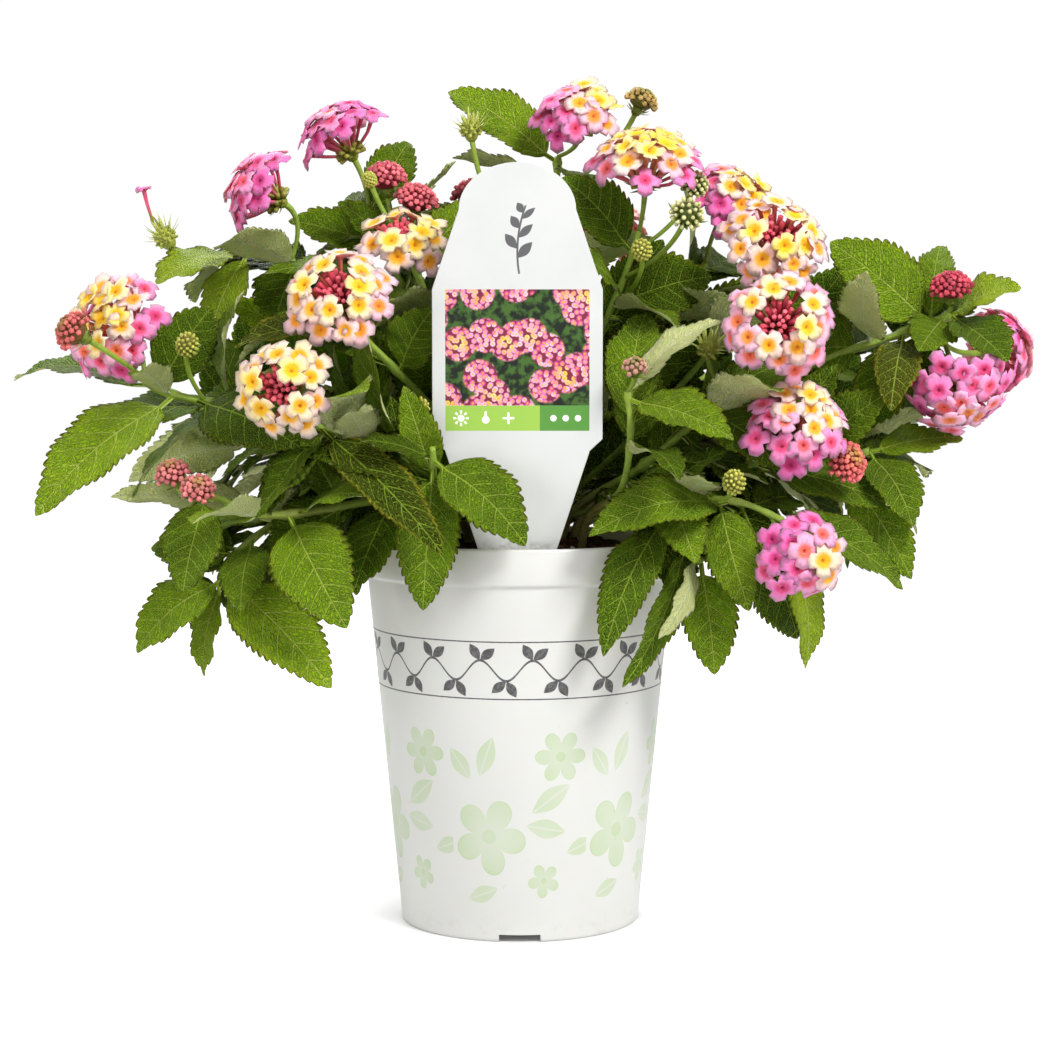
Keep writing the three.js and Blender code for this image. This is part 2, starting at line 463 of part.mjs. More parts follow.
// The filling: its top is a low mound with lumps, one ring of points inside another.
function soilBody(holes) {
  const { rings, sides, lump } = soil;
  const points = [];
  const triangles = [];
  const topRadius = innerRadius(bandBottom) - gap;
  for (let ring = rings; ring >= 1; ring -= 1) {
    const share = ring / rings;
    for (let k = 0; k < sides; k += 1) {
      const angle = (k / sides) * 2 * Math.PI;
      const mound = (soil.middle - soil.edge) * (1 - share * share);
      const bump = (hash(ring, k) - 0.5) * 2 * lump * (ring < rings ? 1 : 0);
      points.push(new THREE.Vector3(Math.cos(angle), Math.sin(angle), 0).multiplyScalar(topRadius * share)
        .setZ(soil.edge + mound + bump));
    }
  }
  const bottomZ = pot.wall + pot.channelLift + gap;
  const bottomRadius = innerRadius(bottomZ) - gap;
  for (let k = 0; k < sides; k += 1) {
    const angle = (k / sides) * 2 * Math.PI;
    points.push(new THREE.Vector3(Math.cos(angle) * bottomRadius, Math.sin(angle) * bottomRadius, bottomZ));
  }
  const topCentre = points.push(new THREE.Vector3(0, 0, soil.middle)) - 1;
  const bottomCentre = points.push(new THREE.Vector3(0, 0, bottomZ)) - 1;
  for (let k = 0; k < sides; k += 1) {
    const next = (k + 1) % sides;
    for (let ring = 0; ring < rings - 1; ring += 1) {
      const [outer, inner] = [ring * sides, (ring + 1) * sides];
      triangles.push([outer + k, outer + next, inner + k], [outer + next, inner + next, inner + k]);
    }
    const last = (rings - 1) * sides;
    const low = rings * sides;
    triangles.push([last + k, last + next, topCentre]);
    triangles.push([low + k, low + next, k], [low + next, next, k]);
    triangles.push([low + next, low + k, bottomCentre]);
  }
  return holes.reduce((body, hole) => body.subtract(hole), solid(meshGeometry(points, triangles)));
}

// The tag: a flat outline with a point in the soil, a waist, straight sides and an arched top.
function tagBody(grow) {
  const outline = new THREE.Shape();
  outline.moveTo(0, tag.point - grow);
  outline.lineTo(tag.soilLine[1] + grow, tag.soilLine[0]);
  outline.lineTo(tag.waist[1] + grow, tag.waist[0]);
  outline.lineTo(tag.bodyHalf + grow, tag.bodyBottom);
  outline.lineTo(tag.bodyHalf + grow, tag.bodyTop);
  outline.lineTo(tag.archHalf + grow, tag.archStart);
  outline.absellipse(0, tag.archStart, tag.archHalf + grow, tag.top - tag.archStart, 0, Math.PI, false);
  outline.lineTo(-tag.bodyHalf - grow, tag.bodyTop);
  outline.lineTo(-tag.bodyHalf - grow, tag.bodyBottom);
  outline.lineTo(-tag.waist[1] - grow, tag.waist[0]);
  outline.lineTo(-tag.soilLine[1] - grow, tag.soilLine[0]);
  outline.closePath();
  const depth = tag.thickness + 2 * grow;
  const plate = new THREE.ExtrudeGeometry(outline, { depth, bevelEnabled: false, curveSegments: 12 });
  plate.translate(0, 0, -depth / 2).rotateX(Math.PI / 2).translate(tag.centreX, tag.y, 0);
  return solid(plate);
}

// ---------------------------------------------------------------- shoots

const curves = new Map();

for (const shoot of shoots) {
  const start = shoot.from ? [curves.get(shoot.from[0]).getPoint(shoot.from[1])] : [];
  const points = start.concat(shoot.route.map(vector));
  curves.set(shoot.name, new THREE.CatmullRomCurve3(points, false, 'catmullrom', 0.5));
}

function shootBody(shoot, grow) {
  const base = stem.baseRadius * (shoot.from ? stem.sideShare : 1);
  const radiusAt = (share) => THREE.MathUtils.lerp(base, stem.tipRadius, share) + grow;
  const curve = curves.get(shoot.name);
  return solid(tube(curve, radiusAt, stem.sides, stem.stepsPerPoint * (curve.points.length - 1)));
}

// The stalk of a head: it leaves its shoot, bends and meets the head from behind.
function stalkBody(head) {
  const [name, share] = head.at;
  const start = curves.get(name).getPoint(share);
  const centre = vector(head.centre);
  const facing = vector(head.facing).normalize();
  const fused = ['green', 'seed', 'calyx'].includes(head.kind);
  const reach = fused ? 0.3 * head.radius : stalkReach(head) + gap;
  const end = centre.clone().addScaledVector(facing, -reach);
  const bend = end.clone().addScaledVector(facing, -0.45 * start.distanceTo(end));
  const curve = new THREE.QuadraticBezierCurve3(start, bend, end);
  const radiusAt = (share) => (share === 1 && !fused ? stalk.cupRadius : stalk.radius);
  return solid(tube(curve, radiusAt, stalk.sides, stalk.steps));
}

function stalkReach(head) {
  if (head.kind === 'berry') {
    return 0.86 * head.radius;
  }
  const { radius, forward } = head.kind === 'two' ? ringCore : core;
  return radius - forward;
}

// ---------------------------------------------------------------- heads

function icosahedron() {
  const ball = new THREE.IcosahedronGeometry(1, 0).deleteAttribute('normal').deleteAttribute('uv');
  const { attributes: { position }, index } = mergeVertices(ball);
  const corners = Array.from({ length: position.count }, (_, i) => (
    new THREE.Vector3().fromBufferAttribute(position, i).normalize()
  ));
  const faces = Array.from({ length: index.count / 3 }, (_, i) => [0, 1, 2].map((k) => index.getX(3 * i + k)));
  return { corners, faces };
}

const faceMiddle = (corners, face) => face
  .reduce((sum, k) => sum.add(corners[k]), new THREE.Vector3()).normalize();

// Buds on a small ball: each of the twenty faces of an icosahedron carries a three-sided knob.
function knobs(centre, facing, radius, valley, flat) {
  const { corners, faces } = icosahedron();
  const turn = new THREE.Quaternion().setFromUnitVectors(new THREE.Vector3(0, 0, 1), facing);
  const place = (direction, distance) => direction.clone().multiplyScalar(distance)
    .multiply(new THREE.Vector3(1, 1, flat)).applyQuaternion(turn).add(centre);
  const points = corners.map((corner) => place(corner, radius * valley));
  const triangles = [];
  for (const face of faces) {
    const tip = points.push(place(faceMiddle(corners, face), radius)) - 1;
    face.forEach((corner, k) => triangles.push([corner, face[(k + 1) % 3], tip]));
  }
  return solid(meshGeometry(points, triangles));
}

// A head of florets: an icosahedron's ball, turned so that one face points ahead. Each face
// within the given angles grows a three-sided tube that opens into a limb of four round lobes.
function floretHead({ root, ball, radius, facing, spin, angles, length, limbRadius, seed }) {
  const { corners, faces } = icosahedron();
  const ahead = faceMiddle(corners, faces[0]);
  const turn = new THREE.Quaternion().setFromUnitVectors(new THREE.Vector3(0, 0, 1), facing)
    .multiply(new THREE.Quaternion().setFromAxisAngle(new THREE.Vector3(0, 0, 1), spin))
    .multiply(new THREE.Quaternion().setFromUnitVectors(ahead, new THREE.Vector3(0, 0, 1)));
  corners.forEach((corner) => corner.applyQuaternion(turn));
  const points = corners.map((corner) => ball.clone().addScaledVector(corner, radius));
  const triangles = [];
  faces.forEach((face, index) => {
    const direction = faceMiddle(corners, face);
    const angle = direction.angleTo(facing);
    if (angle < angles[0] || angle > angles[1]) {
      triangles.push(face);
      return;
    }
    const across = corners[face[0]].clone().addScaledVector(direction, -corners[face[0]].dot(direction)).normalize();
    const other = new THREE.Vector3().crossVectors(direction, across);
    const reach = length - floret.spare * hash(index, seed + 3);
    const limb = limbRadius * pick([0.93, 0.07], index, seed + 5);
    const ring = (count, radiusOf, distanceOf) => Array.from({ length: count + 1 }, (_, k) => {
      const around = (k / count) * 2 * Math.PI;
      const point = root.clone()
        .addScaledVector(direction, distanceOf(k))
        .addScaledVector(across, Math.cos(around) * radiusOf(k))
        .addScaledVector(other, Math.sin(around) * radiusOf(k));
      return { share: k / count, point };
    });
    const number = (rows) => {
      const first = points.length;
      rows.slice(0, -1).forEach((row) => points.push(row.point));
      return rows.map((row, k) => ({ share: row.share, index: first + (k % (rows.length - 1)) }));
    };
    const foot = [0, 1, 2, 3].map((k) => ({ share: k / 3, index: face[k % 3] }));
    const neck = number(ring(3, () => floret.neckRadius, () => reach - floret.neckDrop));
    const rim = number(ring(
      8,
      (k) => limb * (k % 2 ? 1 : floret.notchShare),
      (k) => (k % 2 ? reach - floret.lobeDroop : reach + floret.notchRise),
    ));
    const throat = points.push(root.clone().addScaledVector(direction, reach - floret.throatDrop)) - 1;
    triangles.push(...zip(foot, neck), ...zip(neck, rim));
    rim.slice(1).forEach((row, k) => triangles.push([throat, rim[k].index, row.index]));
  });
  return solid(meshGeometry(points, triangles));
}

function headBodies(head, seed) {
  const root = vector(head.centre);
  const facing = vector(head.facing).normalize();
  if (head.kind === 'berry') {
    return [[head.name, 'berry', knobs(root, facing, head.radius, 0.72, 0.85)]];
  }
  const { radius, forward } = head.kind === 'two' ? ringCore : core;
  const ball = root.clone().addScaledVector(facing, forward);
  const above = forward + radius + gap;
  const innermost = { full: -1, open: 20, two: 60 }[head.kind];
  const parts = [[head.name, head.colour, floretHead({
    root, ball, radius, facing, spin: seed, angles: [innermost, head.spread].map(THREE.MathUtils.degToRad),
    length: head.radius - 1, limbRadius: limbShare * head.radius, seed,
  })]];
  if (head.kind === 'two') {
    const middle = root.clone().addScaledVector(facing, above + middleCore);
    const length = head.radius - above - middleCore;
    parts.push([`${head.name}_middle`, 'cream', floretHead({
      root: middle, ball: middle, radius: middleCore, facing, spin: seed,
      angles: [-1, 50].map(THREE.MathUtils.degToRad), length, limbRadius: 0.55 * length, seed,
    })]);
  }
  if (head.kind === 'open') {
    const buds = root.clone().addScaledVector(facing, above + budDome.radius * budDome.flat);
    parts.push([`${head.name}_buds`, 'berry', knobs(buds, facing, budDome.radius, 0.66, budDome.flat)]);
  }
  return parts;
}

// Knobs that stay on the branch: green buds, seeds and the spiky bracts of a spent head.
function branchKnobs(head) {
  const valley = { green: 0.8, seed: 0.62, calyx: 0.36 }[head.kind];
  return knobs(vector(head.centre), vector(head.facing).normalize(), head.radius, valley, 1);
}

// ---------------------------------------------------------------- leaves

const widestShare = leaf.widestNear[0] / (leaf.widestNear[0] + leaf.widestNear[1]);
const outlineAt = (share) => share ** leaf.widestNear[0] * (1 - share) ** leaf.widestNear[1];
const outlinePeak = outlineAt(widestShare);

// A blade with a raised midrib: both faces use the same triangles, and they meet in the
// toothed edge. It tapers to a root point in the stem. Past its straight stalk the middle
// line rises by arch * 4v(1 - v).
function leafBody(blade, grow, rootShare) {
  const { base, direction, up, side, length, width, arch, fold } = blade;
  const riseAt = (share) => {
    const v = Math.max(0, (share - leaf.petiole) / (1 - leaf.petiole));
    return arch * 4 * v * (1 - v);
  };
  const points = [];
  const add = (share, sideways, lift) => ({ share, index: points.push(base.clone()
    .addScaledVector(direction, length * share)
    .addScaledVector(up, riseAt(share) + lift)
    .addScaledVector(side, sideways)) - 1 });
  const root = add(rootShare, 0, 0);
  const tip = add(1, 0, 0);
  const half = leaf.halfThickness + grow;
  const long = length > leaf.longLeaf;
  const teeth = leaf.teeth + (long ? 1 : 0) - (length < leaf.shortLeaf ? 1 : 0);
  const middle = (lift) => {
    const shares = [leaf.petiole, ...(long ? leaf.ribRings.many : leaf.ribRings.few)];
    return [root, ...shares.map((share) => add(share, 0, lift)), tip];
  };
  const edge = (sign) => {
    const line = [root, add(leaf.petiole, sign * (leaf.petioleHalf + grow), 0)];
    for (let k = 1; k <= 2 * teeth; k += 1) {
      const along = (k - (k % 2 ? 0.25 : 0)) / (2 * teeth + 0.6);
      const tooth = k % 2 ? 1 + leaf.toothDepth / 2 : 1 - leaf.toothDepth;
      const reach = (width / 2) * (outlineAt(along) / outlinePeak) * tooth + grow;
      line.push(add(leaf.petiole + (1 - leaf.petiole) * along, sign * reach, reach * fold));
    }
    return line.concat(tip);
  };
  const [top, bottom, left, right] = [middle(half), middle(-half), edge(-1), edge(1)];
  const flip = ([a, b, c]) => [a, c, b];
  return solid(meshGeometry(points, [
    ...zip(top, right).map(flip), ...zip(top, left), ...zip(bottom, right), ...zip(bottom, left).map(flip),
  ]));
}

function makeBlade(base, tip, facing, width, seed, [sideways, upwards, size]) {
  const direction = tip.clone().sub(base);
  const length = direction.length() * size;
  direction.normalize();
  const level = new THREE.Vector3(-direction.y, direction.x, 0).normalize();
  direction.applyAxisAngle(level, -THREE.MathUtils.degToRad(upwards));
  direction.applyAxisAngle(new THREE.Vector3(0, 0, 1), THREE.MathUtils.degToRad(sideways));
  const up = facing.clone().addScaledVector(direction, -facing.dot(direction)).normalize();
  const side = new THREE.Vector3().crossVectors(direction, up);
  return {
    base, direction, up, side, length, width: width * size,
    arch: length * pick(leaf.arch, seed, 11), fold: pick(leaf.fold, seed, 13),
  };
}

// Leaves by rule: pairs on a shoot, each pair square to the last, leaning outwards and up.
function pairedLeaves(shoot) {
  const curve = curves.get(shoot.name);
  return shoot.fill.flatMap(([share, length], pair) => {
    const base = curve.getPoint(share);
    const along = curve.getTangent(share);
    const level = new THREE.Vector3(-along.y, along.x, 0.001).normalize();
    const cross = new THREE.Vector3().crossVectors(along, level).normalize();
    const outward = new THREE.Vector3(base.x, base.y, 0).normalize();
    return [1, -1].map((sign) => {
      const seed = shoots.indexOf(shoot) * 10 + pair * 2 + (sign > 0 ? 1 : 0);
      const square = (pair % 2 ? level : cross).clone().multiplyScalar(sign);
      const direction = square.multiplyScalar(leafRule.square).addScaledVector(along, leafRule.along)
        .addScaledVector(outward, leafRule.outward)
        .add(new THREE.Vector3(0, 0, pick(leafRule.lift, seed, 17))).normalize();
      const reach = length * pick(leafRule.reach, seed, 19);
      const tip = base.clone().addScaledVector(direction, reach);
      const facing = outward.clone().multiplyScalar(leafRule.outward).setZ(leafRule.square);
      return { shoot: shoot.name, base, tip, facing, width: reach * pick(leafRule.slim, seed, 23), seed };
    });
  });
}

// ---------------------------------------------------------------- assembly

const plant = new THREE.Group();
const placed = []; // every body so far, which a leaf has to clear

function keep(body) {
  placed.push({ body, box: body.boundingBox() });
  return body;
}

function addNode(name, finishName, body) {
  const mesh = new THREE.Mesh(geometryOf(body), finishes[finishName]);
  mesh.name = name;
  plant.add(mesh);
}

const mainShoots = shoots.filter((shoot) => !shoot.from);
addNode('pot', 'pot', keep(potBody()));
addNode('soil', 'soil', keep(soilBody([
  tagBody(gap), ...mainShoots.map((shoot) => shootBody(shoot, gap + 0.15)),
])));
addNode('tag', 'tag', keep(tagBody(0)));

const branches = new Map(mainShoots.map((shoot) => [shoot.branch, []]));
const branchOf = new Map(shoots.map((shoot) => [shoot.name, shoot.branch]));

for (const shoot of shoots) {
  branches.get(shoot.branch).push(keep(shootBody(shoot, 0)));
}
heads.forEach((head, seed) => {
  const branch = branches.get(branchOf.get(head.at[0]));
  branch.push(keep(stalkBody(head)));
  if (['green', 'seed', 'calyx'].includes(head.kind)) {
    branch.push(keep(branchKnobs(head)));
  } else {
    headBodies(head, seed).forEach(([name, finishName, body]) => addNode(name, finishName, keep(body)));
  }
});

const leafPlans = placedLeaves.map(([shoot, share, tip, width, facing], seed) => ({
  shoot, base: curves.get(shoot).getPoint(share), tip: vector(tip), facing: vector(facing).normalize(),
  width, seed: seed + 500,
})).concat(shoots.flatMap(pairedLeaves));

for (const plan of leafPlans) {
  const blades = turns.map((turn) => makeBlade(plan.base, plan.tip, plan.facing, plan.width, plan.seed, turn));
  const clear = blades.find((blade) => {
    const test = leafBody(blade, turnClearance, bareShare);
    const box = test.boundingBox();
    return !placed.some((other) => boxesMeet(box, other.box) && !test.intersect(other.body).isEmpty());
  });
  if (clear) {
    branches.get(branchOf.get(plan.shoot)).push(keep(leafBody(clear, 0, -leaf.rootDepth / clear.length)));
  }
}

for (const [name, bodies] of branches) {
  addNode(`branch_${name}`, 'foliage', join(bodies));
}

export default plant;
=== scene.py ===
# Lantana in a nursery pot: +Z up, front towards -Y. Shapes are worked out in millimetres.
import bpy
import numpy as np
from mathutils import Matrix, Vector
from mathutils.kdtree import KDTree


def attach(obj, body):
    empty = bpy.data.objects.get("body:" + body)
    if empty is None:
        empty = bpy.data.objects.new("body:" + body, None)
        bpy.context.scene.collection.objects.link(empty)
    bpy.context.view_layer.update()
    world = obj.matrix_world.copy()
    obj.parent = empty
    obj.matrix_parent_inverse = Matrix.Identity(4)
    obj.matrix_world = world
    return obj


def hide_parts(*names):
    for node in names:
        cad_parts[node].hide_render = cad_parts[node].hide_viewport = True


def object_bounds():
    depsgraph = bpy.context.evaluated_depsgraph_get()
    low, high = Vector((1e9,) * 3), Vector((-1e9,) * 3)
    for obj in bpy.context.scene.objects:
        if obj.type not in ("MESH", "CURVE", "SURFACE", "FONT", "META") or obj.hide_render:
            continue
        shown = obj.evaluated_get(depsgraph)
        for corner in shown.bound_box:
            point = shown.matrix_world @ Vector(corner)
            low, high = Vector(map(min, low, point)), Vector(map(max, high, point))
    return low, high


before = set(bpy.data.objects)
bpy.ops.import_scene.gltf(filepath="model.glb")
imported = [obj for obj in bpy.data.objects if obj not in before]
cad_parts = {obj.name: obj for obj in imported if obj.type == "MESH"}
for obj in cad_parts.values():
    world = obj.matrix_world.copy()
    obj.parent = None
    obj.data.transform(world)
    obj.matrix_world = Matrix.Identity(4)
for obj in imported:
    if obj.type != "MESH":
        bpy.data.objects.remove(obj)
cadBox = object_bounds()

mm = 0.001
goldenAngle = 2.399963
fullTurn = 2 * np.pi


# camera and lights

studio = {
    "cameraPlace": (2.75, -850, 200), "cameraAim": (2.75, 0, 135), "lens": 84.3, "sensor": 36,
    "worldLight": 0.62, "background": 1.02, "floorRadius": 2500, "floorShade": 0.66,
    # the floor's glow under the foot, beside it and far off, and how far out each step begins and ends; the dim glow
    # under and close round the foot is a painted shadow
    "glow": (0.06, 0.5, 0.62), "footShadowStep": (38, 43), "shadowStep": (41, 62), "shadowShare": 0.6,
    "farStep": (250, 1100),
    # name: place, aim, size across in mm, watts
    "lights": {
        "key": ((560, -640, 900), (0, 0, 150), 420, 13),
        "fill": ((-760, -620, 380), (0, 0, 150), 600, 2.8),
        "back": ((-250, 700, 800), (0, 0, 190), 500, 5),
    },
}


def standAt(name, data, place, aim):
    thing = bpy.data.objects.new(name, data)
    thing.location = Vector(place) * mm
    thing.rotation_euler = (Vector(aim) - Vector(place)).to_track_quat("-Z", "Y").to_euler()
    bpy.context.collection.objects.link(thing)
    return thing


def makeStudio(look):
    camera = standAt("camera", bpy.data.cameras.new("camera"), look["cameraPlace"], look["cameraAim"])
    camera.data.lens = look["lens"]
    camera.data.sensor_width = look["sensor"]
    camera.data.clip_start = 0.01
    bpy.context.scene.camera = camera
    for name, (place, aim, across, watts) in look["lights"].items():
        lamp = bpy.data.lights.new(name, "AREA")
        lamp.shape = "DISK"
        lamp.size = across * mm
        lamp.energy = watts
        standAt(name, lamp, place, aim)
    world = bpy.data.worlds.new("studio")
    world.use_nodes = True
    nodes, links = world.node_tree.nodes, world.node_tree.links
    seen, lit, choice = nodes.new("ShaderNodeBackground"), nodes["Background"], nodes.new("ShaderNodeMixShader")
    lit.inputs["Strength"].default_value = look["worldLight"]
    seen.inputs["Strength"].default_value = look["background"]
    for background in (seen, lit):
        background.inputs["Color"].default_value = (1, 1, 1, 1)
    links.new(nodes.new("ShaderNodeLightPath").outputs["Is Camera Ray"], choice.inputs[0])
    links.new(lit.outputs[0], choice.inputs[1])
    links.new(seen.outputs[0], choice.inputs[2])
    links.new(choice.outputs[0], nodes["World Output"].inputs["Surface"])
    bpy.context.scene.world = world
    bpy.context.scene.view_settings.view_transform = "Standard"


makeStudio(studio)
print("camera and lights stand")


# shader tools

class Signal:
    # one value on its way through a shader; arithmetic on it adds Math nodes
    def __init__(self, tree, socket=None):
        self.tree = tree
        self.socket = socket

    def node(self, kind, settings=None, sockets=None, output=0):
        node = self.tree.nodes.new(kind)
        for name, value in (settings or {}).items():
            if name == "stops":
                setStops(node.color_ramp, value)
            else:
                setattr(node, name, value)
        for name, value in (sockets or {}).items():
            if isinstance(value, Signal):
                self.tree.links.new(value.socket, node.inputs[name])
            else:
                node.inputs[name].default_value = value
        return Signal(self.tree, node.outputs[output])

    def math(self, operation, *values):
        return self.node("ShaderNodeMath", {"operation": operation}, dict(enumerate(values)))

    def sine(self): return self.math("SINE", self)
    def cosine(self): return self.math("COSINE", self)
    def __add__(self, other): return self.math("ADD", self, other)
    def __sub__(self, other): return self.math("SUBTRACT", self, other)
    def __rsub__(self, other): return self.math("SUBTRACT", other, self)
    def __mul__(self, other): return self.math("MULTIPLY", self, other)
    def __truediv__(self, other): return self.math("DIVIDE", self, other)
    def __pow__(self, other): return self.math("POWER", self, other)
    def __mod__(self, other): return self.math("FLOORED_MODULO", self, other)
    def __gt__(self, other): return self.math("GREATER_THAN", self, other)
    def __lt__(self, other): return self.math("LESS_THAN", self, other)
    def __abs__(self): return self.math("ABSOLUTE", self)
    __radd__ = __add__
    __rmul__ = __mul__


def setStops(ramp, stops):
    (ramp.elements[0].position, first), (ramp.elements[1].position, last) = stops[0], stops[-1]
    ramp.elements[0].color, ramp.elements[1].color = (*first, 1), (*last, 1)
    for place, colour in stops[1:-1]:
        ramp.elements.new(place).color = (*colour, 1)


def linear(red, green, blue):
    # screen colour 0-255 to light: c / 12.92 for the darkest, otherwise ((c + 0.055) / 1.055) ^ 2.4
    shade = np.array([red, green, blue]) / 255
    return np.where(shade < 0.04045, shade / 12.92, ((shade + 0.055) / 1.055) ** 2.4)


def smooth(value, low, high):
    return value.node("ShaderNodeMapRange", {"interpolation_type": "SMOOTHSTEP"},
                      {"Value": value, "From Min": low, "From Max": high})


def ramp(value, stops):
    return value.node("ShaderNodeValToRGB", {"stops": [(p, linear(*colour)) for p, colour in stops]}, {"Fac": value})


def mix(factor, first, second, blend="MIX"):
    colours = {key: value if isinstance(value, Signal) else (*(float(part) for part in value), 1)
               for key, value in ((6, first), (7, second))}
    return factor.node("ShaderNodeMix", {"data_type": "RGBA", "blend_type": blend}, {0: factor, **colours}, 2)


def larger(first, *others):
    for other in others:
        first = first.math("MAXIMUM", first, other)
    return first


def reachOf(dx, dz):
    return (dx * dx + dz * dz) ** 0.5


def parts(vector):
    return [vector.node("ShaderNodeSeparateXYZ", sockets={"Vector": vector}, output=k) for k in range(3)]


def join(x, y, z=0.0):
    return x.node("ShaderNodeCombineXYZ", sockets={"X": x, "Y": y, "Z": z})


def noise(place, scale, detail=3, roughness=0.55):
    return place.node("ShaderNodeTexNoise", sockets={"Vector": place, "Scale": scale, "Detail": detail,
                                                     "Roughness": roughness})


def cells(place, scale, feature="F1", flat=True, output="Distance"):
    return place.node("ShaderNodeTexVoronoi", {"feature": feature, "voronoi_dimensions": "2D" if flat else "3D"},
                      {"Vector": place, "Scale": scale}, output)


def surfaceMap(start, name):
    return parts(start.node("ShaderNodeAttribute", {"attribute_name": name}, output="Vector"))


def bump(height, distance, strength=1.0):
    return height.node("ShaderNodeBump", sockets={"Strength": strength, "Distance": distance, "Height": height},
                       output="Normal")


def printedLeaf(dx, dz, degrees, length, breadth, edge):
    # a leaf between two arcs: |q| < breadth sin(pi p), p along it and q across it
    cos, sin = np.cos(np.radians(degrees)), np.sin(np.radians(degrees))
    p = (dx * cos + dz * sin) / length
    q = abs(dz * cos - dx * sin)
    return (p > 0) * (p < 1) * smooth((p * np.pi).sine() * breadth - q, 0, edge), q


def startMaterial(name, constants):
    material = bpy.data.materials.new(name)
    material.use_nodes = True
    tree = material.node_tree
    for socket, value in constants.items():
        tree.nodes["Principled BSDF"].inputs[socket].default_value = value
    start = Signal(tree)
    return material, start, start.node("ShaderNodeTexCoord", output="Object")


def drive(material, **signals):
    # feeds the shader's sockets
    names = {"baseColor": "Base Color", "roughness": "Roughness", "normal": "Normal"}
    tree = material.node_tree
    for name, signal in signals.items():
        tree.links.new(signal.socket, tree.nodes["Principled BSDF"].inputs[names[name]])
    return material


# mesh tools

def unit(vectors):
    return vectors / np.maximum(np.linalg.norm(vectors, axis=-1, keepdims=True), 1e-12)


def drawn(i, j):
    # a fixed draw from 0 to 1 for each pair of numbers: the fraction of a large sine
    wave = np.sin(np.asarray(i) * 127.1 + j * 311.7) * 43758.5453
    return wave - np.floor(wave)


def strayed(i, j):
    # three draws from -0.5 to 0.5
    return np.stack([drawn(i, j + k) for k in range(3)], -1) - 0.5


def ramped(value, low, high):
    share = np.clip((np.asarray(value, float) - low) / (high - low), 0, 1)
    return share * share * (3 - 2 * share)


def between(first, last, share):
    return np.asarray(first) * (1 - share) + np.asarray(last) * share


def circle(columns):
    return np.arange(columns) / columns * fullTurn


def spokes(angle, first, second):
    return np.cos(angle)[:, None] * first + np.sin(angle)[:, None] * second


def closedRings(rings, first, last, **data):
    # one closed surface for each copy: rings x columns points run anticlockwise about the way the
    # rings go, a quad joins each four neighbours, and a fan closes each end on its pole
    copies, rows, columns = rings.shape[:3]
    column = np.arange(columns)
    after = (column + 1) % columns
    row = np.arange(rows - 1)[:, None] * columns
    quads = np.stack([row + column, row + after, row + columns + after, row + columns + column], -1).reshape(-1, 4)
    pole, top = np.full(columns, rows * columns), (rows - 1) * columns
    fans = np.concatenate([np.stack([pole, after, column], -1), np.stack([top + column, top + after, pole + 1], -1)])
    offset = np.arange(copies)[:, None, None] * (rows * columns + 2)

    def withPoles(values):
        return np.concatenate([values.reshape(copies, -1, 3), values[:, :1].mean(2), values[:, -1:].mean(2)], 1)

    points = np.concatenate([rings.reshape(copies, -1, 3), first[:, None], last[:, None]], 1)
    return {"points": points.reshape(-1, 3), "quads": (quads + offset).reshape(-1, 4),
            "fans": (fans + offset).reshape(-1, 3),
            **{name: withPoles(np.broadcast_to(values, rings.shape)).reshape(-1, 3) for name, values in data.items()}}


def tube(path, radius, columns, **data):
    # point = path + radius (across cos a + other sin a); across is the direction most nearly
    # square to the whole path, made square to it at each step
    tangent = unit(np.gradient(path, axis=0))
    across = np.linalg.svd(tangent, full_matrices=False)[2][-1]
    across = unit(across - (tangent @ across)[:, None] * tangent)
    other = np.cross(tangent, across)
    radius = np.broadcast_to(np.asarray(radius, float).reshape(len(path), -1), (len(path), columns))
    rings = path[:, None] + radius[..., None] * spokes(circle(columns), across[:, None], other[:, None])
    return closedRings(rings[None], path[:1], path[-1:], **data)


def makePiece(name, pieces, material, slot, *nodes, sharpAngle=None):
    counts = np.cumsum([0] + [len(piece["points"]) for piece in pieces])
    quads, fans = (np.concatenate([piece[kind] + count for piece, count in zip(pieces, counts)])
                   for kind in ("quads", "fans"))
    corners = np.concatenate([quads.ravel(), fans.ravel()])
    sizes = np.concatenate([np.full(len(quads), 4), np.full(len(fans), 3)])
    mesh = bpy.data.meshes.new(name)
    mesh.vertices.add(int(counts[-1]))
    mesh.vertices.foreach_set("co", np.concatenate([piece["points"] for piece in pieces]).ravel() * mm)
    mesh.loops.add(len(corners))
    mesh.loops.foreach_set("vertex_index", corners.astype(np.int32))
    mesh.polygons.add(len(sizes))
    mesh.polygons.foreach_set("loop_start", (np.cumsum(sizes) - sizes).astype(np.int32))
    mesh.polygons.foreach_set("use_smooth", np.ones(len(sizes), bool))
    mesh.update(calc_edges=True)
    for key in pieces[0]:
        if key not in ("points", "quads", "fans"):
            layer = mesh.attributes.new(key, "FLOAT_VECTOR", "POINT")
            layer.data.foreach_set("vector", np.concatenate([piece[key] for piece in pieces]).ravel())
    mesh.validate()
    if sharpAngle:
        mesh.set_sharp_from_angle(angle=np.radians(sharpAngle))
    mesh.materials.append(material)
    piece = bpy.data.objects.new(name, mesh)
    bpy.context.collection.objects.link(piece)
    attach(piece, "root")
    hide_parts(*nodes)
    return piece


# pot

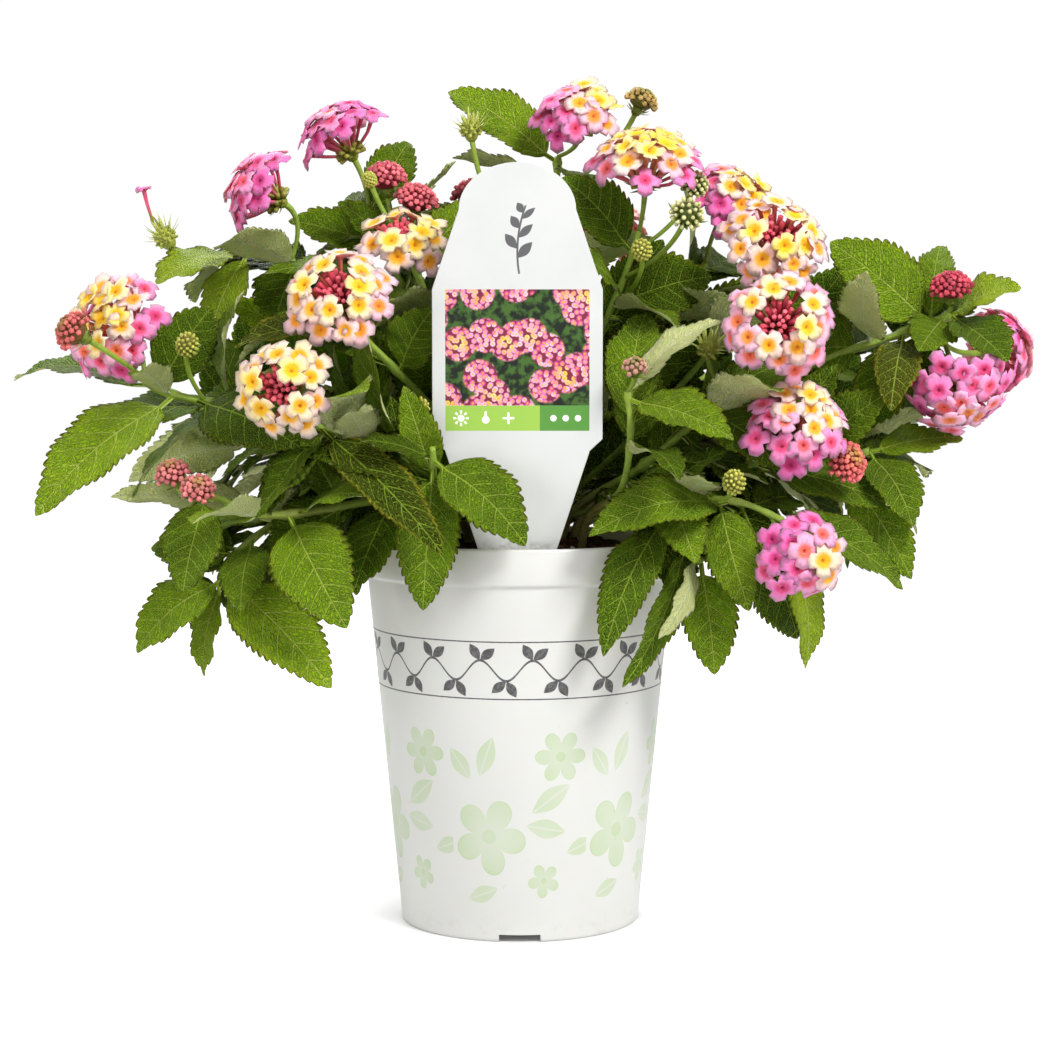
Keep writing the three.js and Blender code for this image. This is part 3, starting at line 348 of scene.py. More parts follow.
pot = {
    "height": 132, "rimRadius": 54, "rimBand": 12, "rimStep": 1.5, "footRadius": 41.3, "wall": 1.2,
    "channelLift": 2.5, "notchWidth": 14, "notches": 4, "columns": 192, "sharpAngle": 40,
    # a drain hole: radius, distance from the axis, sides, and the heights it is cut between
    "drain": (3.2, 34.5, 24, (1.0, 5.0)),
    # the print keeps outside a cone: its radius at the ground and its slope; then mm of the pattern
    "printCone": (40.6, 0.0962), "repeats": 6, "repeatWidth": 50, "vineHeight": 92, "vineWave": 3.4, "vineSteps": 3,
    "vineEdge": 9.5, "vineLeaf": (6.4, 1.7),
    # atX, atZ, size, petals, turn of each pale flower; atX, atZ, length, breadth, degrees of each leaf
    "flowers": ((-11, 36, 13.5, 5, 0.4), (14, 63, 9, 6, 0.0), (9, 21, 6, 5, 1.1)),
    "leaves": ((4, 44, 17, 3.6, 35), (2, 40, 15, 3.4, -10), (-14, 56, 15, 3.2, 70), (-17, 55, 13, 3.0, 125),
               (17, 30, 12, 3.0, 20), (-20, 14, 13, 3, 20)),
}
bandBottom = pot["height"] - pot["rimBand"]


def wallRadius(z):
    return pot["footRadius"] + (z - 4) / (bandBottom - 4) * (pot["rimRadius"] - pot["rimStep"] - pot["footRadius"])


def potShell(look):
    # a profile of radius and height turned about the axis; where a notch is, the foot ring's points
    # are lifted to the channel's ceiling
    lift, wall, rim, top, foot = (look[key] for key in ("channelLift", "wall", "rimRadius", "height", "footRadius"))
    floor = [(12, 0), (28.5, 0), (29.1, 0.35), (29.8, 2.1), (30.5, lift), (37.9, lift)]
    footRing = [(38.8, lift - 0.15), (39.2, 1.7), (39.3, 0.3), (39.6, 0), (40.5, 0), (40.95, 0.12), (41.2, 0.45),
                (foot, 1.1), (foot, 2.6)]
    outside = [(wallRadius(z), z) for z in np.linspace(6, bandBottom - 1.4, 14)]
    band = [(52.38, 119.0), (52.6, 119.45), (53.0, 119.75), (53.35, 120.1), (53.5, 120.7), (rim, top - 0.9),
            (rim - 0.12, top - 0.4), (rim - 0.42, top - 0.1), (rim - 0.9, top), (rim - 1.6, top),
            (rim - 1.95, top - 0.15), (rim - 2.1, top - 0.6), (51.4, 122)]
    inside = [(wallRadius(z) - wall, z) for z in np.linspace(bandBottom - 1, wall + lift + 0.8, 12)]
    bottom = [(39.2, wall + lift), (30.0, wall + lift), (29.1, 3.3), (28.3, 1.6), (27.6, wall), (12, wall)]
    profile = np.array([*floor, *footRing, *outside, *band, *inside, *bottom])
    half = np.arcsin(look["notchWidth"] / 2 / foot)
    pitch = fullTurn / look["notches"]
    edges = [k * pitch + s * half * e for k in range(look["notches"]) for s in (-1, 1) for e in (0.995, 1.005)]
    angle = np.sort(np.concatenate([circle(look["columns"]), np.array(edges) % fullTurn]))
    radius, height = (np.broadcast_to(profile[:, k, None], (len(profile), len(angle))) for k in (0, 1))
    near = np.abs((angle + pitch / 2) % pitch - pitch / 2) < half
    row = np.arange(len(profile))[:, None]
    inFoot = (row >= len(floor)) & (row < len(floor) + len(footRing))
    height = np.where(near & inFoot & (height < lift), lift, height)
    rings = np.stack([radius * np.sin(angle), -radius * np.cos(angle), height], -1)[None]
    return closedRings(rings, np.array([[0, 0, 0.0]]), np.array([[0, 0, float(wall)]]))


def potFinish(look):
    # white moulded plastic with a print that goes round in repeats: a charcoal vine above, pale green
    # flowers and leaves below
    material, _, place = startMaterial("potPlastic", {"Roughness": 0.28, "Specular IOR Level": 0.5,
                                                      "Subsurface Weight": 0.08, "Subsurface Scale": 0.002})
    x, y, z = parts(place)
    height = z * 1000
    turns = x.math("ARCTAN2", x, 0 - y) / fullTurn
    across = ((turns * look["repeats"] + 0.5) % 1 - 0.5) * look["repeatWidth"]
    coneRadius, slope = look["printCone"]
    outer = reachOf(x, y) * 1000 - height * slope > coneRadius  # only the outer wall is printed
    wash = smooth(noise(place, 60), 0.3, 0.7)

    def flower(atX, atZ, size, petals, turn):
        # petals: radius < size (0.38 + 0.62 |cos(petals angle / 2)| ^ 0.6), paler towards the middle
        dx, dz = across - atX, height - atZ
        reach = reachOf(dx, dz) / size
        rim = abs((dx.math("ARCTAN2", dz, dx) * (petals / 2) + turn).cosine()) ** 0.6 * 0.62 + 0.38
        body = smooth(rim - reach, 0.0, 0.035)
        line = body * (1 - smooth(rim - reach, 0.03, 0.07))
        heart = smooth(0.2 - reach, 0, 0.03)
        return body * (0.35 + reach * 0.35) + line * 0.3 + heart * 0.35

    def paleLeaf(atX, atZ, length, breadth, degrees):
        body, q = printedLeaf(across - atX, height - atZ, degrees, length, breadth, 0.3)
        return body * (1 - 0.5 * smooth(0.4 - q, 0, 0.2)) * 0.6

    pale = larger(*(flower(*row) for row in look["flowers"]), *(paleLeaf(*row) for row in look["leaves"]))
    # the vine: a wave that carries two leaves at each crest and each trough, between two lines
    stepWidth, middle, crest = look["repeatWidth"] / look["vineSteps"], look["vineHeight"], look["vineWave"]
    step = across / stepWidth
    dark = smooth(0.55 - abs(height - middle - (step * fullTurn).sine() * crest), 0, 0.25)
    for shift, sign, degrees in ((0.25, 1, 40), (0.25, 1, 120), (0.75, -1, -60), (0.75, -1, -140)):
        dx = ((step + shift) % 1 - 0.5) * stepWidth
        dark = larger(dark, printedLeaf(dx, height - (middle + sign * crest), degrees, *look["vineLeaf"], 0.25)[0])
    edges = (middle + side * look["vineEdge"] for side in (1, -1))
    dark = larger(dark, *(smooth(0.28 - abs(height - edge), 0, 0.12) for edge in edges))
    speck = smooth(noise(place, 900, 2), 0.35, 0.6)
    white = mix(smooth(noise(place, 25), 0.3, 0.7), linear(211, 211, 207), linear(214, 214, 210))
    tinted = mix(pale * outer * (0.72 + wash * 0.28), white, linear(172, 196, 142))
    printed = mix(dark * outer * (0.86 + speck * 0.1), tinted, linear(58, 56, 60))
    grime = smooth(0.012 - z, 0, 0.012) * smooth(noise(place, 300), 0.5, 0.8) * 0.25
    colour = mix(grime, printed, linear(170, 160, 140))
    wavy = noise(place, 12, 1) * 0.3 + noise(place, 420, 2) * 0.02
    return drive(material, baseColor=colour, normal=bump(wavy, 0.0006, 0.4),
                 roughness=0.26 + noise(place, 180, 3) * 0.05 + dark * outer * 0.12)


def cutDrains(shell, look):
    # round holes through the raised channel, between the foot and the flat centre
    radius, reach, sides, heights = look["drain"]
    turn = circle(look["notches"])
    middle = np.stack([np.sin(turn), -np.cos(turn)], -1) * reach
    flat = middle[:, None] + spokes(circle(sides), np.array([1, 0]), np.array([0, 1])) * radius
    rings = np.stack([np.insert(flat, 2, z, -1) for z in heights], 1)
    plugs = closedRings(rings, rings[:, 0].mean(1), rings[:, 1].mean(1))
    mesh = bpy.data.meshes.new("drainPlugs")
    mesh.from_pydata((plugs["points"] * mm).tolist(), [], plugs["quads"].tolist() + plugs["fans"].tolist())
    cutter = bpy.data.objects.new("drainPlugs", mesh)
    bpy.context.collection.objects.link(cutter)
    cut = shell.modifiers.new("drains", "BOOLEAN")
    cut.operation, cut.object, cut.solver = "DIFFERENCE", cutter, "EXACT"
    bpy.context.view_layer.objects.active = shell
    bpy.ops.object.modifier_apply(modifier=cut.name)
    bpy.data.objects.remove(cutter)
    bpy.data.meshes.remove(mesh)
    shell.data.set_sharp_from_angle(angle=np.radians(look["sharpAngle"]))


shell = makePiece("pot_shell", [potShell(pot)], potFinish(pot), "pot", "pot", sharpAngle=pot["sharpAngle"])
cutDrains(shell, pot)
print("pot is turned")


# potting mix

soil = {
    "edge": 126, "middle": 133.5, "lumps": 1.1, "rows": 44, "columns": 132, "spread": 47,
    # how many, size, width and height as shares of it, kind for the finish, first draw
    "chips": (170, 5.5, 0.32, 0.16, 1.0, 40), "grains": (46, 2.2, 0.42, 0.38, 2.0, 60),
}


def mixLumps(x, y):
    # crumbs: sines of two slanted directions at four sizes, the finer the lower
    return sum(np.sin(x * scale + 1.7 * k + 2 * np.sin(y * scale * 0.8)) * np.sin(y * scale * 1.1 + 0.9 * k) / (k + 1.3)
               for k, scale in enumerate((0.23, 0.51, 1.13, 2.3)))


def mixHeight(x, y):
    # edge + a mound of (1 - share ^ 2) + crumbs that die out at the wall
    share = np.hypot(x, y) / (wallRadius(bandBottom) - pot["wall"] - 0.3)
    mound = (soil["middle"] - soil["edge"]) * np.clip(1 - share ** 2, 0, 1)
    return soil["edge"] - 0.6 + mound * 0.95 + soil["lumps"] * 0.55 * mixLumps(x, y) * ramped(1 - share, 0, 0.08)


def soilMound(look):
    # rings up the inside of the pot and then inwards over the mound
    radius = wallRadius(bandBottom) - pot["wall"] - 0.4
    inward = radius * (1 - np.arange(1, look["rows"]) / look["rows"])
    bottomZ = pot["wall"] + pot["channelLift"] + 0.4
    radii = np.concatenate([[wallRadius(bottomZ) - pot["wall"] - 0.6, radius], inward])[:, None]
    angle = circle(look["columns"])
    x, y = radii * np.cos(angle), radii * np.sin(angle)
    z = mixHeight(x, y)
    z[0] = bottomZ
    ends = [np.array([[0, 0, height]]) for height in (bottomZ, float(mixHeight(0, 0)))]
    return closedRings(np.stack([x, y, z], -1)[None], *ends, traits=np.zeros(3))


def scattered(count, size, slim, flat, kind, seed):
    # chips: a seven-sided spindle, flattened, turned by its draws and half sunk where it lies
    index = np.arange(count)
    reach = soil["spread"] * np.sqrt(drawn(index, seed))
    place = drawn(index, seed + 1) * fullTurn
    x, y = reach * np.cos(place), reach * np.sin(place)
    length = size * (0.5 + drawn(index, seed + 2))
    middle = np.stack([x, y, mixHeight(x, y) + 0.15 * length * flat], -1)
    turn = drawn(index, seed + 3) * fullTurn
    long = unit(np.stack([np.cos(turn), np.sin(turn), (drawn(index, seed + 4) - 0.5) * 0.5], -1))
    wide = unit(np.cross([0, 0, 1], long))
    high = np.cross(long, wide)
    angle = circle(7)
    length = length[:, None, None]
    along = np.array([-0.36, 0.0, 0.38])[None, :, None] * length
    grow = (np.array([0.7, 1.0, 0.75])[None, :, None] * length
            * (0.8 + 0.4 * drawn(index[:, None, None] * 31 + np.arange(7), seed + 5)))
    rings = (middle[:, None, None] + long[:, None, None] * along[..., None]
             + wide[:, None, None] * (grow * slim * np.cos(angle))[..., None]
             + high[:, None, None] * (grow * flat * np.sin(angle))[..., None])
    ends = [middle + long * length[:, 0] * s for s in (-0.5, 0.5)]
    traits = np.stack([np.full(count, kind), drawn(index, seed + 6), np.zeros(count)], -1)[:, None, None]
    return closedRings(rings, *ends, traits=traits)


def soilFinish():
    # dark peat with crumbs, brown bark and pale grains; traits: kind (0 peat, 1 bark, 2 grain), draw
    material, start, place = startMaterial("pottingMix", {"Roughness": 0.95, "Specular IOR Level": 0.2})
    kind, draw, _ = surfaceMap(start, "traits")
    crumbs = cells(place, 520, flat=False)
    fine = noise(place, 900, 4, 0.7)
    peat = mix(smooth(fine + crumbs * 0.5, 0.35, 1.0), linear(26, 17, 11), linear(84, 60, 42))
    bark = mix(noise(place, 700, 3), mix(draw, linear(70, 42, 24), linear(128, 86, 52)), linear(50, 32, 22))
    grain = mix(noise(place, 500, 2), linear(226, 222, 210), linear(190, 182, 168))
    colour = mix(kind > 1.5, mix(kind > 0.5, peat, bark), grain)
    return drive(material, baseColor=colour, normal=bump(fine + (1 - crumbs) * 0.8, 0.0012))


makePiece("soil_mound", [soilMound(soil), scattered(*soil["chips"]), scattered(*soil["grains"])], soilFinish(),
          "soil", "soil")
print("potting mix is filled in")


# plant tag

tag = {
    "y": -45.5, "centreX": -0.7, "thickness": 0.9, "top": 256.9, "archStart": 241.7, "archHalf": 19,
    "bodyTop": 216, "bodyHalf": 27.7, "bodyBottom": 167.5, "waist": (163.7, 23.6), "soilLine": (133.3, 13.5),
    "point": 92, "rounding": 0.18, "middle": 190, "sharpAngle": 25,
    # printed panels: left, right, bottom, top
    "picture": (-24.1, 22.7, 178.4, 216), "bar": (-24.1, 22.7, 170.2, 178.4), "barSplit": 6.6,
    # the sprig: middle, bottom and top of its stem, then height and side of each leaf
    "sprig": (228, 221, 243), "sprigLeaves": ((226, 1), (229, -1), (232.5, 1), (235.5, -1), (238.5, 1), (240.5, -1)),
}


def tagPlate(look):
    # the outline, a half ellipse on straight sides, goes round at four depths: the two outer ones are
    # drawn in by the rounding
    sweep = np.linspace(0, np.pi, 29)[1:-1]
    right = [(look["archHalf"], look["archStart"]), (look["bodyHalf"], look["bodyTop"]),
             (look["bodyHalf"], look["bodyBottom"]), look["waist"][::-1], look["soilLine"][::-1], (0, look["point"])]
    rise = look["top"] - look["archStart"]
    arch = np.stack([-look["archHalf"] * np.cos(sweep), look["archStart"] + rise * np.sin(sweep)], -1)
    outline = np.concatenate([arch, right, [(-x, z) for x, z in right[-2::-1]]])
    outline = np.concatenate([np.linspace(a, b, 4)[:-1] for a, b in zip(outline, np.roll(outline, -1, 0))])
    along = unit(np.roll(outline, -1, 0) - np.roll(outline, 1, 0))
    inward = np.stack([along[:, 1], -along[:, 0]], -1)
    half, rounding = look["thickness"] / 2, look["rounding"]
    depths = ((rounding, -half), (0, -half + rounding), (0, half - rounding), (rounding, half))
    rings = np.stack([np.insert(outline + inward * inset, 1, depth, 1) for inset, depth in depths])
    ends = [np.array([[look["centreX"], look["y"] + depth, look["middle"]]]) for depth in (-half, half)]
    return closedRings((rings + [look["centreX"], look["y"], 0])[None], *ends)


def tagFinish(look):
    # white label: a picture of flower heads, a green bar with plain signs, a sprig in the arch
    material, _, place = startMaterial("tagPlastic", {"Roughness": 0.3, "Specular IOR Level": 0.5})
    x, y, z = (part * 1000 for part in parts(place))
    front = y < look["y"]

    def panel(left, right, bottom, top):
        return (smooth(x, left - 0.05, left + 0.05) * smooth(right - x, -0.05, 0.05)
                * smooth(z, bottom - 0.05, bottom + 0.05) * smooth(top - z, -0.05, 0.05))

    # heads are round cells, and each head is made of small cells that pale towards its middle
    flat = join(x, z)
    head = cells(flat, 0.1)
    headDraw = parts(cells(flat, 0.1, output="Color"))[0]
    small = cells(flat, 0.62)
    draw = parts(cells(flat, 0.62, output="Color"))[1]
    young = smooth(head + draw * 0.3, 0.15, 0.55)
    pink = ramp(draw, [(0, (206, 60, 130)), (0.5, (238, 130, 180)), (1, (246, 190, 208))])
    yellow = ramp(draw, [(0, (246, 196, 60)), (0.5, (250, 226, 140)), (1, (240, 120, 96))])
    petals = mix(larger(young, smooth(headDraw, 0.62, 0.66)), yellow, pink)
    petals = mix(smooth(0.24 - small, 0, 0.08), petals, linear(240, 170, 40))
    petals = mix(smooth(small, 0.42, 0.62), petals, linear(120, 34, 60))
    leaves = mix(smooth(noise(flat, 0.35, 3), 0.42, 0.6), linear(14, 26, 12), linear(62, 96, 34))
    picture = mix(smooth(head, 0.5, 0.6), petals, leaves)

    def disc(atX, atZ, radius):
        return smooth(radius - reachOf(x - atX, z - atZ), 0, 0.15)

    def rays(atX, atZ):
        angle = x.math("ARCTAN2", z - atZ, x - atX)
        reach = reachOf(x - atX, z - atZ)
        return smooth((angle * 8).cosine(), 0.1, 0.4) * (reach > 1.5) * (reach < 2.5)

    def stroke(x1, z1, x2, z2, half):
        # a straight line with round ends: the distance to the nearest of its points
        run, rise = x2 - x1, z2 - z1
        share = ((x - x1) * run + (z - z1) * rise) / (run * run + rise * rise)
        share = share.math("MINIMUM", share.math("MAXIMUM", share, 0), 1)
        return smooth(half - reachOf(x - x1 - share * run, z - z1 - share * rise), 0, 0.12)

    middle = (look["bar"][2] + look["bar"][3]) / 2
    signs = larger(disc(-19, middle, 1.2), rays(-19, middle),  # a sun, a drop, a plus and three dots
                   disc(-11, middle - 0.5, 1.3), stroke(-11, middle, -11, middle + 1.9, 0.45),
                   stroke(-3.6, middle - 1.6, -3.6, middle + 1.6, 0.4), stroke(-5.2, middle, -2, middle, 0.4),
                   *(disc(11 + 4 * k, middle, 1.1) for k in range(3)))
    green = mix(x > look["barSplit"], linear(150, 190, 76), linear(84, 142, 58))
    bar = mix(signs, green, linear(246, 250, 240))
    # sprig: a bowed stem with leaves on both sides
    bow, low, high = look["sprig"]
    fromStem = x - (look["centreX"] + (z - bow) * (z - bow) * 0.012)
    sprig = smooth(0.4 - abs(fromStem), 0, 0.15) * (z > low) * (z < high)
    for k, (atZ, side) in enumerate(look["sprigLeaves"]):
        sprig = larger(sprig, printedLeaf(fromStem, z - atZ, 90 - 42 * side, 7.2 - 0.5 * k, 1.7 - 0.1 * k, 0.2)[0])
    white = mix(smooth(noise(place, 40), 0.3, 0.7), linear(200, 202, 200), linear(206, 207, 205))
    colour = mix(panel(*look["picture"]) * front, white, picture)
    colour = mix(panel(*look["bar"]) * front, colour, bar)
    colour = mix(sprig * front * 0.92, colour, linear(70, 68, 72))
    dirt = smooth(136 - z, 0, 5) * smooth(noise(place, 500), 0.35, 0.7)
    colour = mix(dirt * 0.45, colour, linear(80, 60, 44))
    wavy = noise(place, 30, 2) + noise(place, 700, 2) * 0.04
    return drive(material, baseColor=colour, normal=bump(wavy, 0.0006, 0.5), roughness=0.26 + noise(place, 200) * 0.12)


makePiece("tag_plate", [tagPlate(tag)], tagFinish(tag), "tag", "tag", sharpAngle=tag["sharpAngle"])
print("tag is cut and printed")


# the plant's plan: shoots, heads and leaves stand where their solids do

def namedRows(names, rows):
    return [dict(zip(names, row)) for row in rows]


# name, branch, the shoot it leaves and how far along it, leaf pairs as (share along the shoot, length),
# and the points of its smooth route
shoots = namedRows(("name", "branch", "from", "pairs", "route"), (
    ("far_left", "left_outer", (), ((0.42, 50), (0.56, 50), (0.7, 46)),
     ((-16, -8, 104), (-17, -8, 138), (-45, -18, 163), (-80, -27, 175), (-112, -32, 181), (-124, -33, 186))),
    ("low_left", "left_outer", ("far_left", 0.27), ((0.35, 44), (0.55, 46)),
     ((-48, -11, 151), (-72, -21, 144), (-92, -32, 131), (-99, -37, 119))),
    ("front_left", "left_front", (), ((0.5, 46), (0.8, 42)),
     ((-18, -15, 104), (-19, -17, 138), (-42, -36, 147), (-79, -50, 143), (-101, -54, 150))),
    ("by_tag", "left_front", ("front_left", 0.27), ((0.5, 34),),
     ((-27, -37, 150), (-28, -48, 157), (-28, -54, 165))),
    ("middle_left", "left_middle", (), ((0.55, 50), (0.75, 48)),
     ((-13, -19, 104), (-14, -21, 138), (-34, -37, 158), (-56, -45, 168), (-66, -47, 172))),
    ("inner_left", "left_middle", ("middle_left", 0.28), ((0.35, 46), (0.65, 46)),
     ((-26, -27, 172), (-43, -34, 192), (-51, -38, 200))),
    ("top_left", "left_top", (), ((0.4, 52), (0.55, 52), (0.72, 46)),
     ((-9, 8, 104), (-10, 9, 138), (-24, 12, 180), (-42, 13, 220), (-52, 12, 244))),
    ("upper_left", "left_top", ("top_left", 0.5), ((0.3, 50), (0.6, 48)),
     ((-46, 7, 207), (-68, 2, 222), (-88, -2, 229), (-98, -3, 230))),
    ("centre_left", "centre_left", (), ((0.42, 48), (0.66, 48)),
     ((-6, -3, 104), (-7, -4, 138), (-18, -8, 180), (-32, -10, 215), (-38, -11, 232))),
    ("top_centre", "centre_top", (), ((0.45, 48), (0.65, 46)),
     ((2, 9, 104), (2, 10, 138), (6, 12, 190), (12, 13, 238), (13, 15, 263))),
    ("top_right", "centre_top", ("top_centre", 0.28), ((0.35, 46), (0.6, 46)),
     ((18, -3, 180), (34, -13, 218), (40, -17, 236))),
    ("upper_right", "right_top", (), ((0.45, 50), (0.65, 48), (0.82, 44)),
     ((13, 7, 104), (14, 8, 138), (33, 10, 175), (55, 8, 212), (64, 7, 226))),
    ("outer_right", "right_top", ("upper_right", 0.3), ((0.35, 46), (0.65, 46)),
     ((42, -2, 170), (66, -11, 198), (76, -14, 213))),
    ("middle_right", "right_middle", (), ((0.5, 50), (0.7, 48)),
     ((14, -9, 104), (16, -10, 138), (42, -22, 158), (66, -32, 180), (74, -36, 190))),
    ("lower_right", "right_middle", ("middle_right", 0.27), ((0.35, 46), (0.65, 46)),
     ((48, -22, 149), (76, -28, 158), (88, -31, 163))),
    ("far_right", "right_outer", (), ((0.42, 48), (0.56, 50), (0.7, 50)),
     ((20, 3, 104), (21, 3, 138), (52, 2, 162), (98, -5, 190), (130, -9, 202), (146, -8, 208))),
    ("side_right", "right_outer", ("far_right", 0.28), ((0.4, 46), (0.62, 46), (0.8, 44)),
     ((54, -4, 149), (92, -10, 158), (118, -15, 162))),
    ("front_right", "right_front", (), ((0.7, 36),),
     ((20, -22, 104), (22, -25, 138), (33, -40, 150), (36, -47, 168), (35, -49, 183))),
    ("low_right", "right_front", ("front_right", 0.3), ((0.45, 40),),
     ((44, -37, 147), (70, -43, 147), (86, -45, 141))),
    ("drooping", "right_front", ("front_right", 0.26), (),
     ((37, -30, 146), (50, -34, 140), (60, -35, 126))),
    ("back_left", "back_left", (), ((0.48, 56), (0.76, 52), (0.3, 50)),
     ((-11, 19, 104), (-12, 21, 138), (-38, 40, 168), (-64, 56, 188))),
    ("side_left", "back_left", ("back_left", 0.36), ((0.6, 54),),
     ((-50, 26, 152), (-82, 26, 160), (-100, 26, 163))),
    ("back_centre", "back_centre", (), ((0.5, 54), (0.78, 50), (0.3, 48)),
     ((0, 22, 104), (0, 24, 138), (4, 48, 170), (6, 72, 184))),
    ("back_tall", "back_centre", ("back_centre", 0.36), ((0.42, 54), (0.75, 52)),
     ((-4, 32, 180), (-10, 38, 215), (-12, 42, 238))),
    ("back_right", "back_right", (), ((0.48, 56), (0.76, 52), (0.3, 50)),
     ((13, 18, 104), (14, 20, 138), (42, 38, 170), (70, 54, 188))),
    ("back_low", "back_right", ("back_right", 0.36), ((0.55, 54), (0.9, 50)),
     ((56, 27, 152), (88, 30, 158), (106, 31, 160))),
))
# name, kind, colour, centre, facing, radius, and the shoot it stands on with how far along
heads = namedRows(("name", "kind", "colour", "centre", "facing", "radius", "at"), (
    ("bloom_top_left", "full", "pink", (-59.2, 10, 265.1), (-0.5, -0.2, 0.85), 18, ("top_left", 1)),
    ("bloom_upper_left", "full", "pink", (-83, -6, 247.5), (-0.85, -0.3, 0.5), 18, ("upper_left", 0.62)),
    ("bloom_far_left", "two", "pink", (-129.5, -32, 201.5), (-0.45, -0.75, 0.4), 20, ("far_left", 1)),
    ("bloom_centre_left", "open", "cream", (-39.5, -20, 229), (0.05, -0.6, 0.8), 15.5, ("centre_left", 0.92)),
    ("bloom_left", "open", "peach", (-57, -52, 211), (-0.1, -0.85, 0.5), 18.5, ("inner_left", 1)),
    ("bloom_lower_left", "open", "cream", (-74, -66, 184), (-0.15, -0.97, 0.15), 16, ("middle_left", 1)),
    ("bloom_top", "two", "pink", (19.5, 8, 272), (-0.1, -0.55, 0.8), 19, ("top_centre", 1)),
    ("bloom_top_right", "two", "pink", (41.8, -18, 252.5), (0, -0.4, 0.93), 20.5, ("top_right", 1)),
    ("bloom_upper_right", "two", "pink", (70.5, 5, 243), (0.45, -0.55, 0.7), 18, ("upper_right", 1)),
    ("bloom_right", "open", "peach", (84.5, -22, 229.5), (0.1, -0.85, 0.5), 18.5, ("outer_right", 1)),
    ("bloom_middle_right", "open", "peach", (83, -50, 203), (0.05, -0.95, 0.3), 19, ("middle_right", 1)),
    ("bloom_lower_right", "two", "pink", (90, -42, 168.5), (0.1, -0.8, 0.5), 18.5, ("lower_right", 0.8)),
    ("bloom_low_right", "full", "pink", (89.5, -56, 131), (0.1, -0.97, 0), 16.5, ("low_right", 0.9)),
    ("bloom_far_right", "full", "pink", (147, -16, 185.5), (0.1, -0.6, -0.75), 18, ("far_right", 0.93)),
    ("bloom_edge_right", "full", "pink", (164, 13, 196), (0.85, 0.3, 0.15), 15.5, ("far_right", 0.9)),
    ("bloom_behind_top", "full", "peach", (32, 55, 234), (0.1, 0.4, 0.85), 17, ("back_tall", 0.9)),
    ("bloom_back_left", "full", "pink", (-72, 66, 200), (-0.4, 0.6, 0.6), 17, ("back_left", 1)),
    ("bloom_back", "open", "peach", (6, 84, 194), (0, 0.7, 0.7), 17, ("back_centre", 1)),
    ("bloom_back_right", "full", "pink", (80, 63, 200), (0.4, 0.6, 0.6), 17, ("back_right", 1)),
    ("buds_centre_left", "berry", "", (-46, 2, 255), (-0.1, -0.3, 0.95), 7, ("centre_left", 1)),
    ("buds_far_left", "berry", "", (-142.1, -60, 202.6), (-0.75, -0.35, 0.5), 6.5, ("far_left", 0.9)),
    ("buds_low_left", "berry", "", (-102.6, -61, 152.1), (0.1, -0.6, 0.7), 5.5, ("front_left", 1)),
    ("buds_lower_left", "berry", "", (-112.2, -52, 156.7), (-0.2, -0.4, 0.7), 5.5, ("front_left", 0.95)),
    ("buds_top", "berry", "", (41.7, 9, 281.7), (0.4, -0.1, 0.85), 5.5, ("top_centre", 0.86)),
    ("buds_front_right", "berry", "", (37, -54, 191), (0, -0.5, 0.8), 4, ("front_right", 1)),
    ("buds_lower_right", "berry", "", (107, -40, 160), (0.5, -0.7, 0.4), 7.2, ("lower_right", 1)),
    ("buds_far_right", "berry", "", (145.5, -12, 217.5), (-0.1, -0.4, 0.9), 6.8, ("far_right", 0.97)),
    ("buds_back", "berry", "", (-18, 46, 252), (-0.2, 0.3, 0.9), 6.5, ("back_tall", 1)),
    ("green_upper_left", "green", "", (-50.6, -11, 253.3), (-0.3, -0.3, 0.9), 3, ("centre_left", 0.97)),
    ("green_left", "green", "", (-33, -46, 177), (0.1, -0.3, 0.9), 4.5, ("inner_left", 0.3)),
    ("green_far_left", "green", "", (-108, -44, 198), (0.2, -0.5, 0.8), 4.5, ("far_left", 0.74)),
    ("seed_right", "seed", "", (58.2, -20, 251.1), (0.3, -0.3, 0.9), 5, ("top_right", 0.85)),
    ("seed_upper_right", "seed", "", (54.9, -34, 240.6), (0.3, -0.5, 0.8), 6, ("top_right", 0.7)),
    ("green_top_right", "green", "", (40, -36, 229), (-0.1, -0.6, 0.7), 4, ("top_right", 0.6)),
    ("green_right", "green", "", (69, -56, 154), (0, -0.6, 0.8), 4.5, ("low_right", 0.55)),
    ("green_outer_right", "green", "", (101, -30, 176), (0.4, -0.4, 0.8), 4, ("lower_right", 0.9)),
    ("calyx_left", "calyx", "", (-122, 0, 236), (-0.5, -0.1, 0.85), 7.5, ("upper_left", 1)),
    ("calyx_top", "calyx", "", (-17, 4, 273), (-0.1, -0.1, 0.98), 7, ("top_centre", 0.62)),
    ("calyx_right", "calyx", "", (62, -38, 198), (0.1, -0.6, 0.7), 7, ("middle_right", 0.78)),
    ("buds_upper_left", "berry", "", (-35.3, -2, 247.4), (0.2, -0.3, 0.9), 7, ("centre_left", 0.96)),
))
